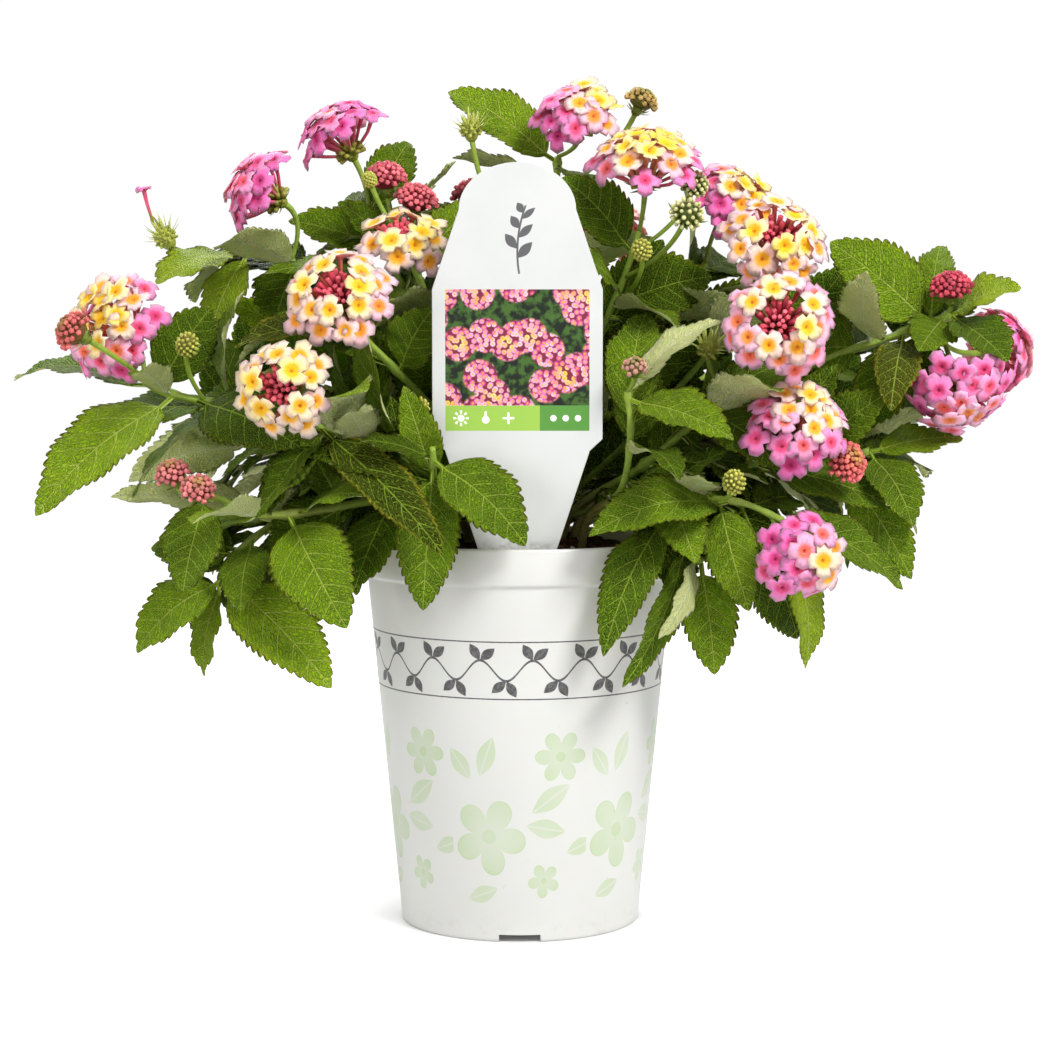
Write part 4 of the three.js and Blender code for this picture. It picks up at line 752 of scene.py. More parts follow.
# shoot, share along it, tip, width, facing, tone (0 dark to 1 yellow-green), and its manner
placedLeaves = (
    ("middle_left", 0.97, (-24, -72, 132), 18, (0.3, -0.85, 0.4), 0.05, "olive"),
    ("by_tag", 0.75, (-31, -60, 113), 21, (0, -1, 0.15), 0.32),
    ("by_tag", 0.85, (2, -62, 134), 24, (0.15, -0.8, 0.6), 0.3),
    ("far_left", 0.82, (-156, -55, 143), 28, (-0.2, -0.7, 0.65), 0.55),
    ("far_left", 0.95, (-175, 6, 185.5), 16, (-0.1, -0.4, 0.9), 0.3),
    ("far_left", 0.84, (-129.5, -68, 199.1), 13, (-0.3, -0.5, 0.8), 0.4),
    ("far_left", 0.76, (-70, -62, 165.6), 25, (0, -0.85, 0.5), 0.05),
    ("far_left", 0.9, (-94.4, -22, 205.7), 22, (0.2, -0.8, 0.5), 0.2),
    ("low_left", 0.6, (-135, -36, 148), 20, (-0.2, -0.5, 0.8), 0.5, "under"),
    ("front_left", 1, (-107.9, -60, 119.1), 20, (-0.2, -0.95, 0.1), 0.35),
    ("front_left", 0.72, (-55, -67, 108), 27, (-0.1, -0.95, 0.3), 0.42),
    ("front_left", 0.7, (-50, -64, 155), 17, (0.1, -0.5, 0.85), 0.4),
    ("front_left", 0.5, (-53, -60, 119), 19, (-0.3, -0.9, 0.2), 0.15),
    ("low_left", 0.95, (-61, -54, 87), 25, (0.2, -0.9, 0.4), 0.6),
    ("low_left", 0.95, (-126, -42, 97), 20, (-0.5, -0.8, 0.3), 0.5),
    ("low_left", 1, (-105, -34, 88), 17, (-0.7, -0.6, 0.2), 0.6),
    ("low_left", 0.7, (-90, -50, 108), 18, (-0.2, -0.95, 0.2), 0.4),
    ("inner_left", 0.95, (-93, -44, 197), 18, (-0.2, -0.5, 0.8), 0.3, "olive"),
    ("inner_left", 0.6, (-28, -38, 210), 20, (0.1, -0.7, 0.7), 0.3),
    ("upper_left", 0.97, (-119.2, -20, 213.1), 26, (-0.4, -0.6, 0.7), 0.7),
    ("top_left", 0.75, (-91.5, -12, 221.7), 19, (-0.2, -0.5, 0.85), 0.3),
    ("top_left", 1, (-39.1, 26, 268.8), 17, (0.2, -0.8, 0.5), 0.35),
    ("centre_left", 0.85, (-18.5, -4, 250.3), 17, (0.2, -0.8, 0.6), 0.5),
    ("top_centre", 0.98, (-20.7, 28, 293.5), 21, (0, -0.75, 0.65), 0.5),
    ("top_centre", 0.97, (33, -8, 240), 17, (0.5, -0.7, 0.5), 0.1),
    ("top_right", 0.85, (13.6, -12, 253.9), 21, (0, -0.8, 0.6), 0.15),
    ("top_right", 0.45, (50.8, -2, 234), 20, (0, -0.95, 0.2), 0.1),
    ("top_right", 0.65, (20, -34, 226), 19, (0, -0.8, 0.6), 0.35),
    ("front_right", 0.8, (40.6, -30, 212.6), 20, (-0.3, -0.95, 0.2), 0.35),
    ("front_right", 1, (61.2, -48, 210.7), 12, (-0.6, -0.6, 0.5), 0.5, "under"),
    ("front_right", 0.96, (68, -66, 168), 20, (0, -0.6, 0.8), 0.42),
    ("low_right", 0.65, (22, -63, 137), 22, (-0.1, -0.7, 0.7), 0.35),
    ("low_right", 0.7, (92.9, -28, 99.9), 26, (0.2, -0.9, 0.2), 0.1),
    ("low_right", 0.9, (126.9, -36, 117.3), 21, (0.1, -0.6, 0.8), 0.3),
    ("low_right", 1, (95.6, -16, 93.4), 17, (0.6, -0.75, 0.1), 0.7),
    ("drooping", 0.6, (27, -60, 98), 18, (-0.3, -0.95, 0.1), 0.2),
    ("drooping", 0.85, (33, -60, 88), 13, (0.6, -0.8, 0), 0.25),
    ("drooping", 1, (64, -44, 90), 19, (0.1, -1, 0.1), 0.45),
    ("middle_right", 0.7, (84, -48, 158), 21, (0, -0.7, 0.7), 0.15),
    ("lower_right", 0.7, (126, -36, 143), 21, (0.1, -0.6, 0.8), 0.25),
    ("side_right", 1, (130, -34, 138), 19, (0.3, -0.9, 0.3), 0.3),
    ("side_right", 1, (150.6, -10, 166.4), 17, (0.1, -0.5, 0.85), 0.5),
    ("side_right", 0.75, (132.1, -24, 175.6), 22, (0, -0.8, 0.6), 0.3),
    ("far_right", 0.9, (105.2, -6, 232.8), 27, (-0.3, -0.7, 0.6), 0.45),
    ("far_right", 0.72, (114.6, -32, 222.2), 20, (-0.5, -0.8, 0.2), 0.5, "under"),
    ("far_right", 0.8, (112, 2, 172), 20, (0.1, -0.95, 0.2), 0.15),
    ("far_right", 1, (168, -18, 217), 18, (0, -0.6, 0.8), 0.7),
    ("far_right", 0.9, (146.1, 14, 232.2), 14, (-0.2, -0.8, 0.5), 0.4),
    ("far_right", 0.97, (133.8, -24, 192.3), 18, (-0.1, -0.9, 0.4), 0.35),
    ("far_right", 1, (161.8, -28, 192.4), 22, (0.2, -0.7, 0.7), 0.2),
    ("upper_left", 0.85, (-105.3, -5, 198), 17, (-0.4, -0.8, 0.2), 0.65),
    ("back_left", 0.9, (-105.6, 25, 213.8), 20, (-0.2, -0.8, 0.5), 0.7),
    ("top_left", 0.86, (-79.7, 6, 240.5), 18, (0, -0.8, 0.6), 0.3),
    ("top_left", 0.85, (-70.7, 2, 247.9), 15, (0, -0.8, 0.5), 0.3),
    ("far_right", 0.82, (126.7, 10, 226.8), 20, (0.1, -0.8, 0.5), 0.15),
    ("far_right", 0.8, (100.7, -38, 183.9), 20, (-0.1, -0.7, 0.7), 0.3, "olive"),
    ("low_right", 0.4, (64.6, -62, 133.4), 18, (0, -0.9, 0.4), 0.45),
    ("low_right", 0.6, (74.3, -54, 112.1), 18, (-0.2, -0.9, 0.2), 0.4),
    ("drooping", 0.95, (42, -56, 95.6), 10, (0.6, -0.8, 0), 0.4, "under"),
    ("far_left", 0.72, (-149.5, -25, 171.3), 20, (-0.3, -0.5, 0.8), 0.15),
    ("side_left", 0.95, (-136.1, 8, 150.4), 22, (0, -0.7, 0.6), 0.5, "under"),
    ("low_left", 0.8, (-123, -28, 130.5), 17, (-0.1, -0.8, 0.5), 0.3),
    ("centre_left", 0.5, (-41.9, -26, 207), 20, (-0.6, -0.8, 0), 0.45),
    ("centre_left", 0.45, (-44.5, -34, 189.8), 22, (0, -0.8, 0.6), 0.1),
    ("upper_right", 0.5, (63.6, 0, 216.9), 22, (0, -0.8, 0.5), 0.1),
    ("middle_right", 0.5, (71.9, -24, 184.6), 20, (0, -0.8, 0.5), 0.2),
    ("side_right", 0.6, (126.4, -6, 184.3), 21, (0, -0.8, 0.5), 0.15),
)
# thin leaves that fill the gaps between those, in the same order of values
moreLeaves = (
    ("far_right", 0.62, (101, 6, 216), 24, (0, -0.9, 0.4), 0.15),
    ("far_right", 0.7, (97, 0, 196), 23, (-0.1, -0.9, 0.3), 0.25),
    ("far_right", 0.84, (136, 6, 175), 22, (0.1, -0.9, 0.3), 0.15),
    ("side_right", 0.7, (124, 0, 153), 22, (0.1, -0.9, 0.2), 0.2),
    ("upper_left", 0.6, (-84, 0, 204), 22, (-0.2, -0.8, 0.4), 0.2),
    ("far_left", 0.6, (-112, -12, 176), 22, (-0.1, -0.7, 0.6), 0.25),
    ("front_left", 0.6, (-84, -34, 128), 22, (-0.1, -0.9, 0.3), 0.2),
    ("side_right", 0.85, (134, -8, 118), 19, (0.2, -0.9, 0.2), 0.4),
    ("top_right", 0.6, (65, -8, 221), 24, (0, -0.9, 0.3), 0.1),
    ("upper_right", 0.45, (70, -2, 203), 21, (0, -0.9, 0.3), 0.15),
    ("upper_right", 0.3, (66, -4, 186), 21, (0, -0.9, 0.3), 0.1),
    ("far_right", 0.5, (113, 10, 225), 27, (0.1, -0.9, 0.3), 0.15),
    ("upper_right", 0.55, (95, 8, 224), 23, (0.1, -0.9, 0.3), 0.1),
)
# what a leaf may turn to keep clear: sideways and upwards in degrees, and size
turns = (
    (0, 0, 1), (0, 10, 1), (0, -10, 1), (12, 0, 1), (-12, 0, 1), (12, 14, 0.95), (-12, 14, 0.95),
    (14, -14, 0.95), (-14, -14, 0.95), (0, 24, 0.9), (0, -24, 0.9), (26, 0, 0.9), (-26, 0, 0.9), (28, 22, 0.85),
    (-28, 22, 0.85), (28, -22, 0.8), (-28, -22, 0.8), (0, 40, 0.8), (44, 8, 0.75), (-44, 8, 0.75),
)
bloomKinds = ("full", "two", "open")
for seed, head in enumerate(heads):
    head.update(seed=seed, centre=np.array(head["centre"], float), facing=unit(np.array(head["facing"], float)))


def curvePoint(points, share):
    # a cubic between neighbouring points: with slopes of half the step across each of them
    share = np.clip(np.asarray(share, float), 0, 1)
    place = share * (len(points) - 1)
    index = np.minimum(np.floor(place).astype(int), len(points) - 2)
    w = (place - index)[..., None]
    line = np.vstack([2 * points[0] - points[1], points, 2 * points[-1] - points[-2]])
    before, start, end, after = (line[index + k] for k in range(4))
    leave, arrive = (end - before) / 2, (after - start) / 2
    return (start + leave * w + (3 * (end - start) - 2 * leave - arrive) * w ** 2
            + (2 * (start - end) + leave + arrive) * w ** 3)


def curveTangent(points, share):
    return unit(curvePoint(points, min(share + 1e-4, 1)) - curvePoint(points, max(share - 1e-4, 0)))


curves, branchOf = {}, {}
for shoot in shoots:
    start = [curvePoint(curves[shoot["from"][0]], shoot["from"][1])] if shoot["from"] else []
    curves[shoot["name"]] = np.array([*start, *shoot["route"]], float)
    branchOf[shoot["name"]] = shoot["branch"]
branches = list(dict.fromkeys(branchOf.values()))


# leaves

# pairs: weights of the lean, least and range of each draw, and the way they face
leafRule = {"square": 0.85, "along": 0.25, "outward": 0.45, "lift": (0.15, -0.5), "reach": (0.9, 0.2),
            "slim": (0.4, 0.08), "tone": (0.05, 0.5), "facing": (0, 0, 0.85)}
# the small leaves draw their tone from a darker range: painted shade for leaves that sit behind the others
fillerRule = {"square": 0.9, "along": 0.3, "outward": 0.2, "lift": (-0.6, 1.0), "reach": (24, 22),
              "slim": (0.46, 0.12), "tone": (0.0, 0.32), "facing": (0, -0.2, 0.85)}
bend = {"arch": (0.05, 0.09), "fold": (0.08, 0.22)}  # least and range for every leaf
# small leaves: how many pairs on a shoot and between which shares of it; mm that they keep clear of
# heads, of the pot, and beside, before and above the tag; how far behind a placed leaf they are hidden
filler = {"shares": 18, "from": 0.1, "to": 0.97, "clear": 1.5, "potClear": 3, "tagClear": (30, 3, 1), "behind": 3,
          "mostBefore": 3}
# the first seed of each group of leaves, and how many seeds each shoot takes
firstSeeds = {"placed": 500, "more": 1000, "filler": 2000}
shootSeeds = {"pairs": 10, "filler": 40}
unturned = (0, 0, 1)


def pick(leastAndRange, i, j):
    return leastAndRange[0] + leastAndRange[1] * float(drawn(i, j))


def turned(vector, axis, degrees):
    # v cos a + (axis x v) sin a + axis (axis . v)(1 - cos a)
    cos, sin = np.cos(np.radians(degrees)), np.sin(np.radians(degrees))
    return vector * cos + np.cross(axis, vector) * sin + axis * np.dot(axis, vector) * (1 - cos)


def bladeFrame(plan, turn):
    sideways, upwards, size = turn
    direction = plan["tip"] - plan["base"]
    length = np.linalg.norm(direction) * size
    direction = unit(direction)
    level = unit(np.array([-direction[1], direction[0], 0]))
    direction = turned(turned(direction, level, -upwards), np.array([0, 0, 1.0]), sideways)
    up = unit(plan["facing"] - np.dot(plan["facing"], direction) * direction)
    return {**plan, "direction": direction, "up": up, "side": np.cross(direction, up), "length": length,
            "width": plan["width"] * size, "arch": length * pick(bend["arch"], plan["seed"], 11),
            "fold": pick(bend["fold"], plan["seed"], 13), "tip": plan["base"] + direction * length}


def placedPlans(rows, firstSeed):
    return [{"shoot": shoot, "share": share, "base": curvePoint(curves[shoot], share), "tip": np.array(tip, float),
             "facing": unit(np.array(facing, float)), "width": width, "seed": index + firstSeed, "tone": tone,
             "manner": manner[0] if manner else "plain"}
            for index, (shoot, share, tip, width, facing, tone, *manner) in enumerate(rows)]


def pairPlans(shoot, share, odd, length, firstSeed, rule):
    # two leaves on opposite sides, which lean by: square to the shoot + along it + outward + up
    route = curves[shoot["name"]]
    base, along = curvePoint(route, share), curveTangent(route, share)
    level = unit(np.array([-along[1], along[0], 0.001]))
    outward = unit(np.array([base[0], base[1], 0]))
    plans = []
    for seed, sign in ((firstSeed + 1, 1), (firstSeed, -1)):
        square = (level if odd else unit(np.cross(along, level))) * sign
        direction = unit(square * rule["square"] + along * rule["along"] + outward * rule["outward"]
                         + np.array([0, 0, pick(rule["lift"], seed, 17)]))
        reach = length * pick(rule["reach"], seed, 19)
        plans.append({"shoot": shoot["name"], "share": share, "base": base, "tip": base + direction * reach,
                      "facing": outward * leafRule["outward"] + np.array(rule["facing"]), "seed": seed,
                      "width": reach * pick(rule["slim"], seed, 23), "tone": pick(rule["tone"], seed, 29),
                      "manner": "plain"})
    return plans


def keptLeaves():
    # of a leaf's possible turns, the one whose tip is a corner of the branch's solid
    trees = {}
    for branch in branches:
        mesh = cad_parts[f"branch_{branch}"].data
        corners = np.empty(len(mesh.vertices) * 3)
        mesh.vertices.foreach_get("co", corners)
        trees[branch] = KDTree(len(mesh.vertices))
        for index, corner in enumerate(corners.reshape(-1, 3) / mm):
            trees[branch].insert(corner, index)
        trees[branch].balance()
    plans = placedPlans(placedLeaves, firstSeeds["placed"])
    for number, shoot in enumerate(shoots):
        for pair, (share, length) in enumerate(shoot["pairs"]):
            plans += pairPlans(shoot, share, pair % 2, length, number * shootSeeds["pairs"] + pair * 2, leafRule)
    kept = []
    for plan in plans:
        for turn in turns:
            blade = bladeFrame(plan, turn)
            if trees[branchOf[plan["shoot"]]].find(blade["tip"])[2] < 0.05:
                kept.append(blade)
                break
    return kept


def keptFillers(placed):
    # small leaves in pairs all along the shoots. One stays if it keeps inside the crown, clear of the
    # heads, the tag and the pot, and behind every head and leaf that stands at its place in front
    low, high = (np.array(corner) / mm + side * filler["clear"] for corner, side in zip(cadBox, (1, -1)))
    centres = np.array([head["centre"] for head in heads])
    radii = np.array([head["radius"] for head in heads], float)
    fronts = [(blade["base"], blade["tip"], blade["width"] * 0.3) for blade in placed
              if blade["seed"] >= firstSeeds["placed"]]
    along, across = np.meshgrid(np.linspace(0.15, 1, 7), (-0.4, 0, 0.4), indexing="ij")
    wide = across * np.sin(np.pi * np.clip(along, 0.1, 0.97))
    kept = []
    for number, shoot in enumerate(shoots):
        for step, share in enumerate(np.linspace(filler["from"], filler["to"], filler["shares"])):
            seed = firstSeeds["filler"] + number * shootSeeds["filler"] + step * 2
            for plan in pairPlans(shoot, share, step % 2, 1, seed, fillerRule):
                blade = bladeFrame(plan, unturned)
                points = (blade["base"] + (along * blade["length"])[..., None] * blade["direction"]
                          + (wide * blade["width"])[..., None] * blade["side"]
                          + (4 * along * (1 - along) * blade["arch"])[..., None] * blade["up"]).reshape(-1, 3)
                if not (hitsOthers(points, centres, radii) or isHidden(points, fronts)
                        or (points < low).any() or (points > high).any()):
                    kept.append(blade)
    return kept


def hitsOthers(points, centres, radii):
    apart = points[:, None] - centres
    inHead = np.linalg.norm(apart, axis=-1) < radii + filler["clear"]
    beforeHead = (np.linalg.norm(apart[..., [0, 2]], axis=-1) < radii) & (apart[..., 1] < 0)
    x, y, z = points.T
    beside, before, above = filler["tagClear"]
    byTag = ((np.abs(x - tag["centreX"]) < beside) & (y < tag["y"] + before)
             & (z > tag["point"]) & (z < tag["top"] + above))
    byPot = (z < pot["height"] + filler["potClear"]) & (np.hypot(x, y) < pot["rimRadius"] + filler["potClear"])
    return (inHead | beforeHead).any() or byTag.any() or byPot.any()


def isHidden(points, fronts):
    # too many of its points stand before the middle line of a placed leaf, within its half width
    for start, end, half in fronts:
        run = (end - start)[[0, 2]]
        share = np.clip((points[:, [0, 2]] - start[[0, 2]]) @ run / (run @ run), 0, 1)
        nearest = start + share[:, None] * (end - start)
        close = np.linalg.norm((points - nearest)[:, [0, 2]], axis=-1) < half
        if (close & (points[:, 1] < nearest[:, 1] - filler["behind"])).sum() > filler["mostBefore"]:
            return True
    return False


leaf = {
    "stalkShare": 0.11, "stalkHalf": 0.85, "stalkThick": 0.75, "rootDepth": 0.6, "outline": (0.56, 0.9),
    "toothLength": 2.7, "toothAt": (0.0, 0.2, 0.5, 0.8), "toothDepth": 0.11, "toothLean": 0.8, "thickness": 0.4,
    "ribUnder": 0.4, "wave": 0.8, "quilt": 0.35, "veinPairs": 6.5, "foldSoftness": 1.3,
    "across": (-1, -0.84, -0.56, -0.26, 0, 0.26, 0.56, 0.84, 1),
}
smallLeaf = {**leaf, "across": (-1, -0.6, 0, 0.6, 1), "toothAt": (0.0, 0.35, 0.8)}


def leafSurface(blade, look):
    # a loop goes over the top from the left edge (t = -1) to the right and back underneath. Half width
    # is the outline q^a (1 - q)^b with rounded teeth; height above the middle plane is the arch
    # 4 q (1 - q), the fold |x|, an edge wave t^2 sin, and the pillows between the side veins
    length, width, seed = blade["length"], blade["width"], blade["seed"]
    start = look["stalkShare"]
    teeth = int(np.clip(round(length * (1 - start) / look["toothLength"]), 8, 24))
    q = (np.arange(teeth)[:, None] + np.array(look["toothAt"])).ravel() / teeth
    u = np.concatenate([[0.0, 0.035, 0.07, 0.098], start + (1 - start) * q])[:, None]
    q = np.clip((u - start) / (1 - start), 0, 1)
    over = np.array(look["across"])
    t = np.concatenate([over, over[-2:0:-1]])[None]
    below = np.concatenate([np.zeros(len(over)), np.ones(len(over) - 2)])[None]
    a, b = look["outline"]
    peak = (a / (a + b)) ** a * (b / (a + b)) ** b
    phase = (q * teeth) % 1
    drop = np.cos(np.pi / 2 * np.clip((phase - 0.7) / 0.3, 0, 1)) ** 0.7
    saw = np.where(phase < 0.7, np.sin(np.pi / 2 * phase / 0.7), drop) * (q > 0)
    fade = ramped(q, 0.02, 0.12) * ramped(1 - q, -0.02, 0.1)
    bladeHalf = width / 2 * q ** a * (1 - q) ** b / peak * (1 + look["toothDepth"] * fade * (saw - 0.55))
    blend = ramped(q, 0, 0.07)
    x = np.hypot(bladeHalf, look["stalkHalf"] * (1 - blend)) * t
    along = length * u + look["toothLean"] * saw * fade * np.abs(t) ** 6 * blend
    fold = blade["fold"] * (np.hypot(x, look["foldSoftness"]) - look["foldSoftness"])
    turn = fullTurn * (q * (2.1 + drawn(seed, 31)) + drawn(seed, 33)) + np.where(t > 0, 1.9, 0)
    wave = look["wave"] * t ** 2 * np.sin(turn) * fade
    r = np.abs(x) / (width / 2)
    veins = look["veinPairs"] * (q - 0.2 * r - 0.12 * r ** 2)
    level = np.sqrt(np.clip(1 - t ** 2, 0, 1))
    quilt = look["quilt"] * (np.sin(np.pi * veins) ** 2 - 0.5) * level * ramped(r, 0.02, 0.2)
    skin = level * (look["stalkThick"] * (1 - blend) + look["thickness"] / 2 * blend * (1 - t ** 6))
    rib = look["ribUnder"] * np.exp(-(x / 0.8) ** 2) * (1 - q) ** 0.7 * blend
    lift = (blade["arch"] * 4 * q * (1 - q) + blend * (fold + wave + quilt)
            + np.where(below > 0.5, -skin - rib, skin - rib * 0.35))
    rings = (blade["base"] + along[..., None] * blade["direction"] + lift[..., None] * blade["up"]
             + x[..., None] * blade["side"])
    ones = np.ones_like(x)
    edge = np.abs(t) * ones
    flag = np.where(edge >= 1, 0.5, below * ones)
    flag = 1 - flag if blade["manner"] == "under" else flag
    return closedRings(
        rings[None], (blade["base"] - look["rootDepth"] * blade["direction"])[None], blade["tip"][None],
        placeOn=np.stack([along * ones, x, veins * ones], -1)[None],
        traits=np.stack([ones * blade["tone"], flag, edge], -1)[None],
        extra=np.stack([ones * (blade["manner"] == "olive"), ones * drawn(seed, 41), q * ones], -1)[None])


def leafFinish():
    # placeOn: mm along and across, side vein count; traits: tone, underside, share of the half width;
    # extra: olive, draw, share of the blade
    material, start, place = startMaterial("leafGreen", {
        "Specular IOR Level": 0.07, "Subsurface Weight": 0.14, "Subsurface Scale": 0.0015,
        "Subsurface Radius": (0.6, 1.0, 0.1)})
    _, across, veins = surfaceMap(start, "placeOn")
    tone, under, edge = surfaceMap(start, "traits")
    olive, draw, share = surfaceMap(start, "extra")
    under = under > 0.5
    mottle = noise(place, 85, 3)
    shade = tone + (mottle - 0.5) * 0.45 + (noise(place, 400, 2) - 0.5) * 0.18
    fresh = ramp(shade, [(0, (26, 42, 1)), (0.25, (65, 100, 1)), (0.5, (120, 158, 2)), (0.75, (166, 198, 14)),
                         (1, (208, 226, 56))])
    aged = ramp(shade, [(0, (38, 39, 4)), (0.5, (84, 82, 8)), (1, (150, 144, 40))])
    # a net of small veins, with painted shade in the hollows beside them and a painted highlight on the crowns between
    net = cells(join(veins * 4.3 + draw * 37, across * 0.62), 1.0, "DISTANCE_TO_EDGE")
    fine = cells(join(veins * 11 + draw * 17, across * 1.6), 1.0, "DISTANCE_TO_EDGE")
    # painted shade: darker in the hollows beside the small veins
    base = mix((1 - smooth(net, 0.02, 0.32)) * 0.4, mix(olive, fresh, aged), linear(26, 44, 1))
    # painted highlight: lighter on the crowns between the small veins
    base = mix(smooth(net, 0.16, 0.5) * (0.25 + tone * 0.27) * (1 - olive * 0.8), base, linear(182, 216, 48))
    side = abs((veins + 0.5) % 1 - 0.5)
    sideVein = 1 - smooth(side + edge * 0.02, 0.018, 0.055)
    rib = 1 - smooth(abs(across) + share * 0.18, 0.16, 0.48)
    netVein = 1 - smooth(net, 0.01, 0.07)
    fineVein = 1 - smooth(fine, 0.02, 0.12)
    strong = larger(rib * 0.94, sideVein * 0.92, netVein * 0.7, fineVein * 0.22)
    top = mix(strong, base, mix(tone, linear(146, 178, 52), linear(226, 238, 118)))
    margin = smooth(edge + (mottle - 0.5) * 0.2, 0.8, 1.0)
    top = mix(margin * (0.14 + olive * 0.6), top, linear(186, 180, 50))
    burnt = smooth(edge, 0.86, 0.99) * smooth(noise(place, 130, 2), 0.58, 0.66) * smooth(share, 0.3, 0.9)
    top = mix(burnt * 0.75, top, linear(120, 74, 40))
    lower = mix(mottle, linear(212, 226, 138), linear(234, 242, 164))
    lower = mix(larger(rib, sideVein * 0.9, netVein * 0.5), lower, linear(240, 246, 196))
    pillow = smooth(net, 0.0, 0.32) * 0.7 + smooth(fine, 0, 0.25) * 0.24 - sideVein * 0.6 - rib * 0.6
    height = pillow * (1 - under * 1.9) + noise(place, 2500, 2) * 0.08
    return drive(material, baseColor=mix(under, top, lower), normal=bump(height, 0.0013),
                 roughness=0.44 + under * 0.25 + mottle * 0.16)


leaves = keptLeaves() + [bladeFrame(plan, unturned) for plan in placedPlans(moreLeaves, firstSeeds["more"])]
fillers = keptFillers(leaves)
leafMaterial = leafFinish()
for branch in branches:
    surfaces = [leafSurface(blade, look) for blades, look in ((leaves, leaf), (fillers, smallLeaf))
                for blade in blades if branchOf[blade["shoot"]] == branch]
    if surfaces:
        makePiece(f"leaves_{branch}", surfaces, leafMaterial, "foliage", f"branch_{branch}")
print("leaves grown:", len(leaves), "and small ones between:", len(fillers))


# stems, stalks and green heads

stem = {"baseRadius": 1.9, "tipRadius": 1.15, "sideShare": 0.8, "steps": 11, "columns": 12, "square": 0.1,
        "swelling": 0.3, "swellingLength": 2.0, "stalkRadius": (0.75, 1.15), "thinStalk": 0.85, "stalkSteps": 14,
        "stalkBend": 0.45}
# how far behind a head's centre its stalk ends: a share of its radius, and mm
stalkEnd = {"green": (0.3, 0), "seed": (0.3, 0), "calyx": (0.3, 0), "berry": (0.86, 0.3), "two": (0, 3.3),
            "full": (0, 3.8), "open": (0, 3.8)}


def around(facing):
    # two directions square to facing, which follow each other anticlockwise about it
    first = unit(np.cross(facing, [0.31, 0.93, 0.2] if abs(facing[1]) < 0.8 else [0.9, 0.1, 0.4]))
    return first, np.cross(facing, first)


def spiralCap(count, facing, least, most, spin):
    # the cosine of the lean falls evenly from the least to the most, and each next one is a golden
    # angle further round
    index = np.arange(count)
    lean = np.arccos(np.cos(least) + (index + 0.5) / count * (np.cos(most) - np.cos(least)))
    flat = spokes(index * goldenAngle + spin, *around(facing))
    return np.sin(lean)[:, None] * flat + np.cos(lean)[:, None] * facing, lean


def squareTo(directions, facing):
    # for each direction, one square to it that points away from facing, and the third
    outward = directions * (directions @ facing)[:, None] - facing + 1e-4 * around(facing)[0]
    outward = unit(outward - np.sum(outward * directions, -1, keepdims=True) * directions)
    return outward, np.cross(directions, outward)


def clubs(root, facing, directions, near, far, profile, foot, tip, seed, columns=6):
    # pegs that stand out of one point: ring k at the share profile[k][0] of the way, with the radius
    # profile[k][1]; the colour runs from foot to tip by profile[k][2]
    index = np.arange(len(directions))
    way, thickness, shade = np.array(profile).T
    first, second = squareTo(directions, facing)
    far = far * (0.93 + 0.1 * drawn(index, seed)) if np.isscalar(far) else far
    distance = near + way * (far - near)[:, None]
    radius = thickness * (0.88 + 0.24 * drawn(index, seed + 1))[:, None]
    flat = spokes(circle(columns), first[:, None], second[:, None])
    rings = root + directions[:, None, None] * distance[..., None, None] + radius[..., None, None] * flat[:, None]
    ends = [root + directions * distance[:, [k]] for k in (0, -1)]
    ends[1] = ends[1] + directions * radius[:, [-1]] * 0.4
    light = 0.75 + 0.4 * drawn(index, seed + 2)
    share = shade[None, :, None, None] * np.ones((len(directions), 1, columns, 1))
    return closedRings(rings, *ends, tint=between(foot, tip, share) * light[:, None, None, None])


def ball(centre, facing, across, along, tint, rows=6, columns=9):
    # rings at even angles from the far side of facing to the near one
    angle = np.pi * (np.arange(1, rows + 1) / (rows + 1))
    path = centre - np.cos(angle)[:, None] * along * facing
    rings = path[:, None] + (np.sin(angle) * across)[:, None, None] * spokes(circle(columns), *around(facing))
    return closedRings(rings[None], *((centre + s * along * facing)[None] for s in (-1, 1)), tint=np.asarray(tint))


def bracts(root, facing, directions, length, half, curl, foot, tip, seed):
    # narrow pointed blades: half width sin(pi s)^0.8 over the length, bent towards facing by curl s^2
    count = len(directions)
    index = np.arange(count)
    s = np.array([0.0, 0.15, 0.35, 0.6, 0.82])
    outward, side = squareTo(directions, facing)
    reach = length * (0.8 + 0.35 * drawn(index, seed))
    path = (root + directions[:, None] * (reach[:, None] * s)[..., None]
            - outward[:, None] * (curl * reach[:, None] * s ** 2)[..., None])
    width = half * np.sin(np.pi * (0.16 + 0.8 * s)) ** 0.8
    section = spokes(circle(4), outward[:, None] * 0.22, side[:, None])
    rings = path[:, :, None] + section[:, None] * width[:, None, None]
    ends = path[:, 0] - directions * 0.3, root + directions * reach[:, None] - outward * (curl * reach)[:, None]
    share = s[None, :, None, None] * np.ones((count, 1, 4, 1))
    light = (0.8 + 0.4 * drawn(index, seed + 4))[:, None, None, None]
    return closedRings(rings, *ends, tint=between(foot, tip, share) * light)


def shootSurface(shoot):
    # a square stem with rounded corners, thicker for a short way where leaves leave it
    points = curves[shoot["name"]]
    share = np.linspace(0, 1, stem["steps"] * (len(points) - 1) + 1)
    path = curvePoint(points, share)
    run = np.concatenate([[0], np.cumsum(np.linalg.norm(np.diff(path, axis=0), axis=1))])
    base = stem["baseRadius"] * (stem["sideShare"] if shoot["from"] else 1)
    radius = base + (stem["tipRadius"] - base) * share
    for at in [at for at, _ in shoot["pairs"]] + [row[1] for row in placedLeaves if row[0] == shoot["name"]]:
        near = (run - np.interp(at, share, run)) / stem["swellingLength"]
        radius = radius * (1 + stem["swelling"] * np.exp(-near ** 2))
    squared = radius[:, None] * (0.86 + stem["square"] * np.cos(4 * circle(stem["columns"])))
    woody = 1 - ramped(path[:, 2] + 8 * np.sin(run / 9), 122, 158)
    tint = between(linear(128, 154, 52), linear(122, 104, 62), woody[:, None])
    tint = between(tint, linear(150, 178, 64), ramped(share, 0.5, 1.0)[:, None])
    return tube(path, squared, stem["columns"], tint=tint[None, :, None])


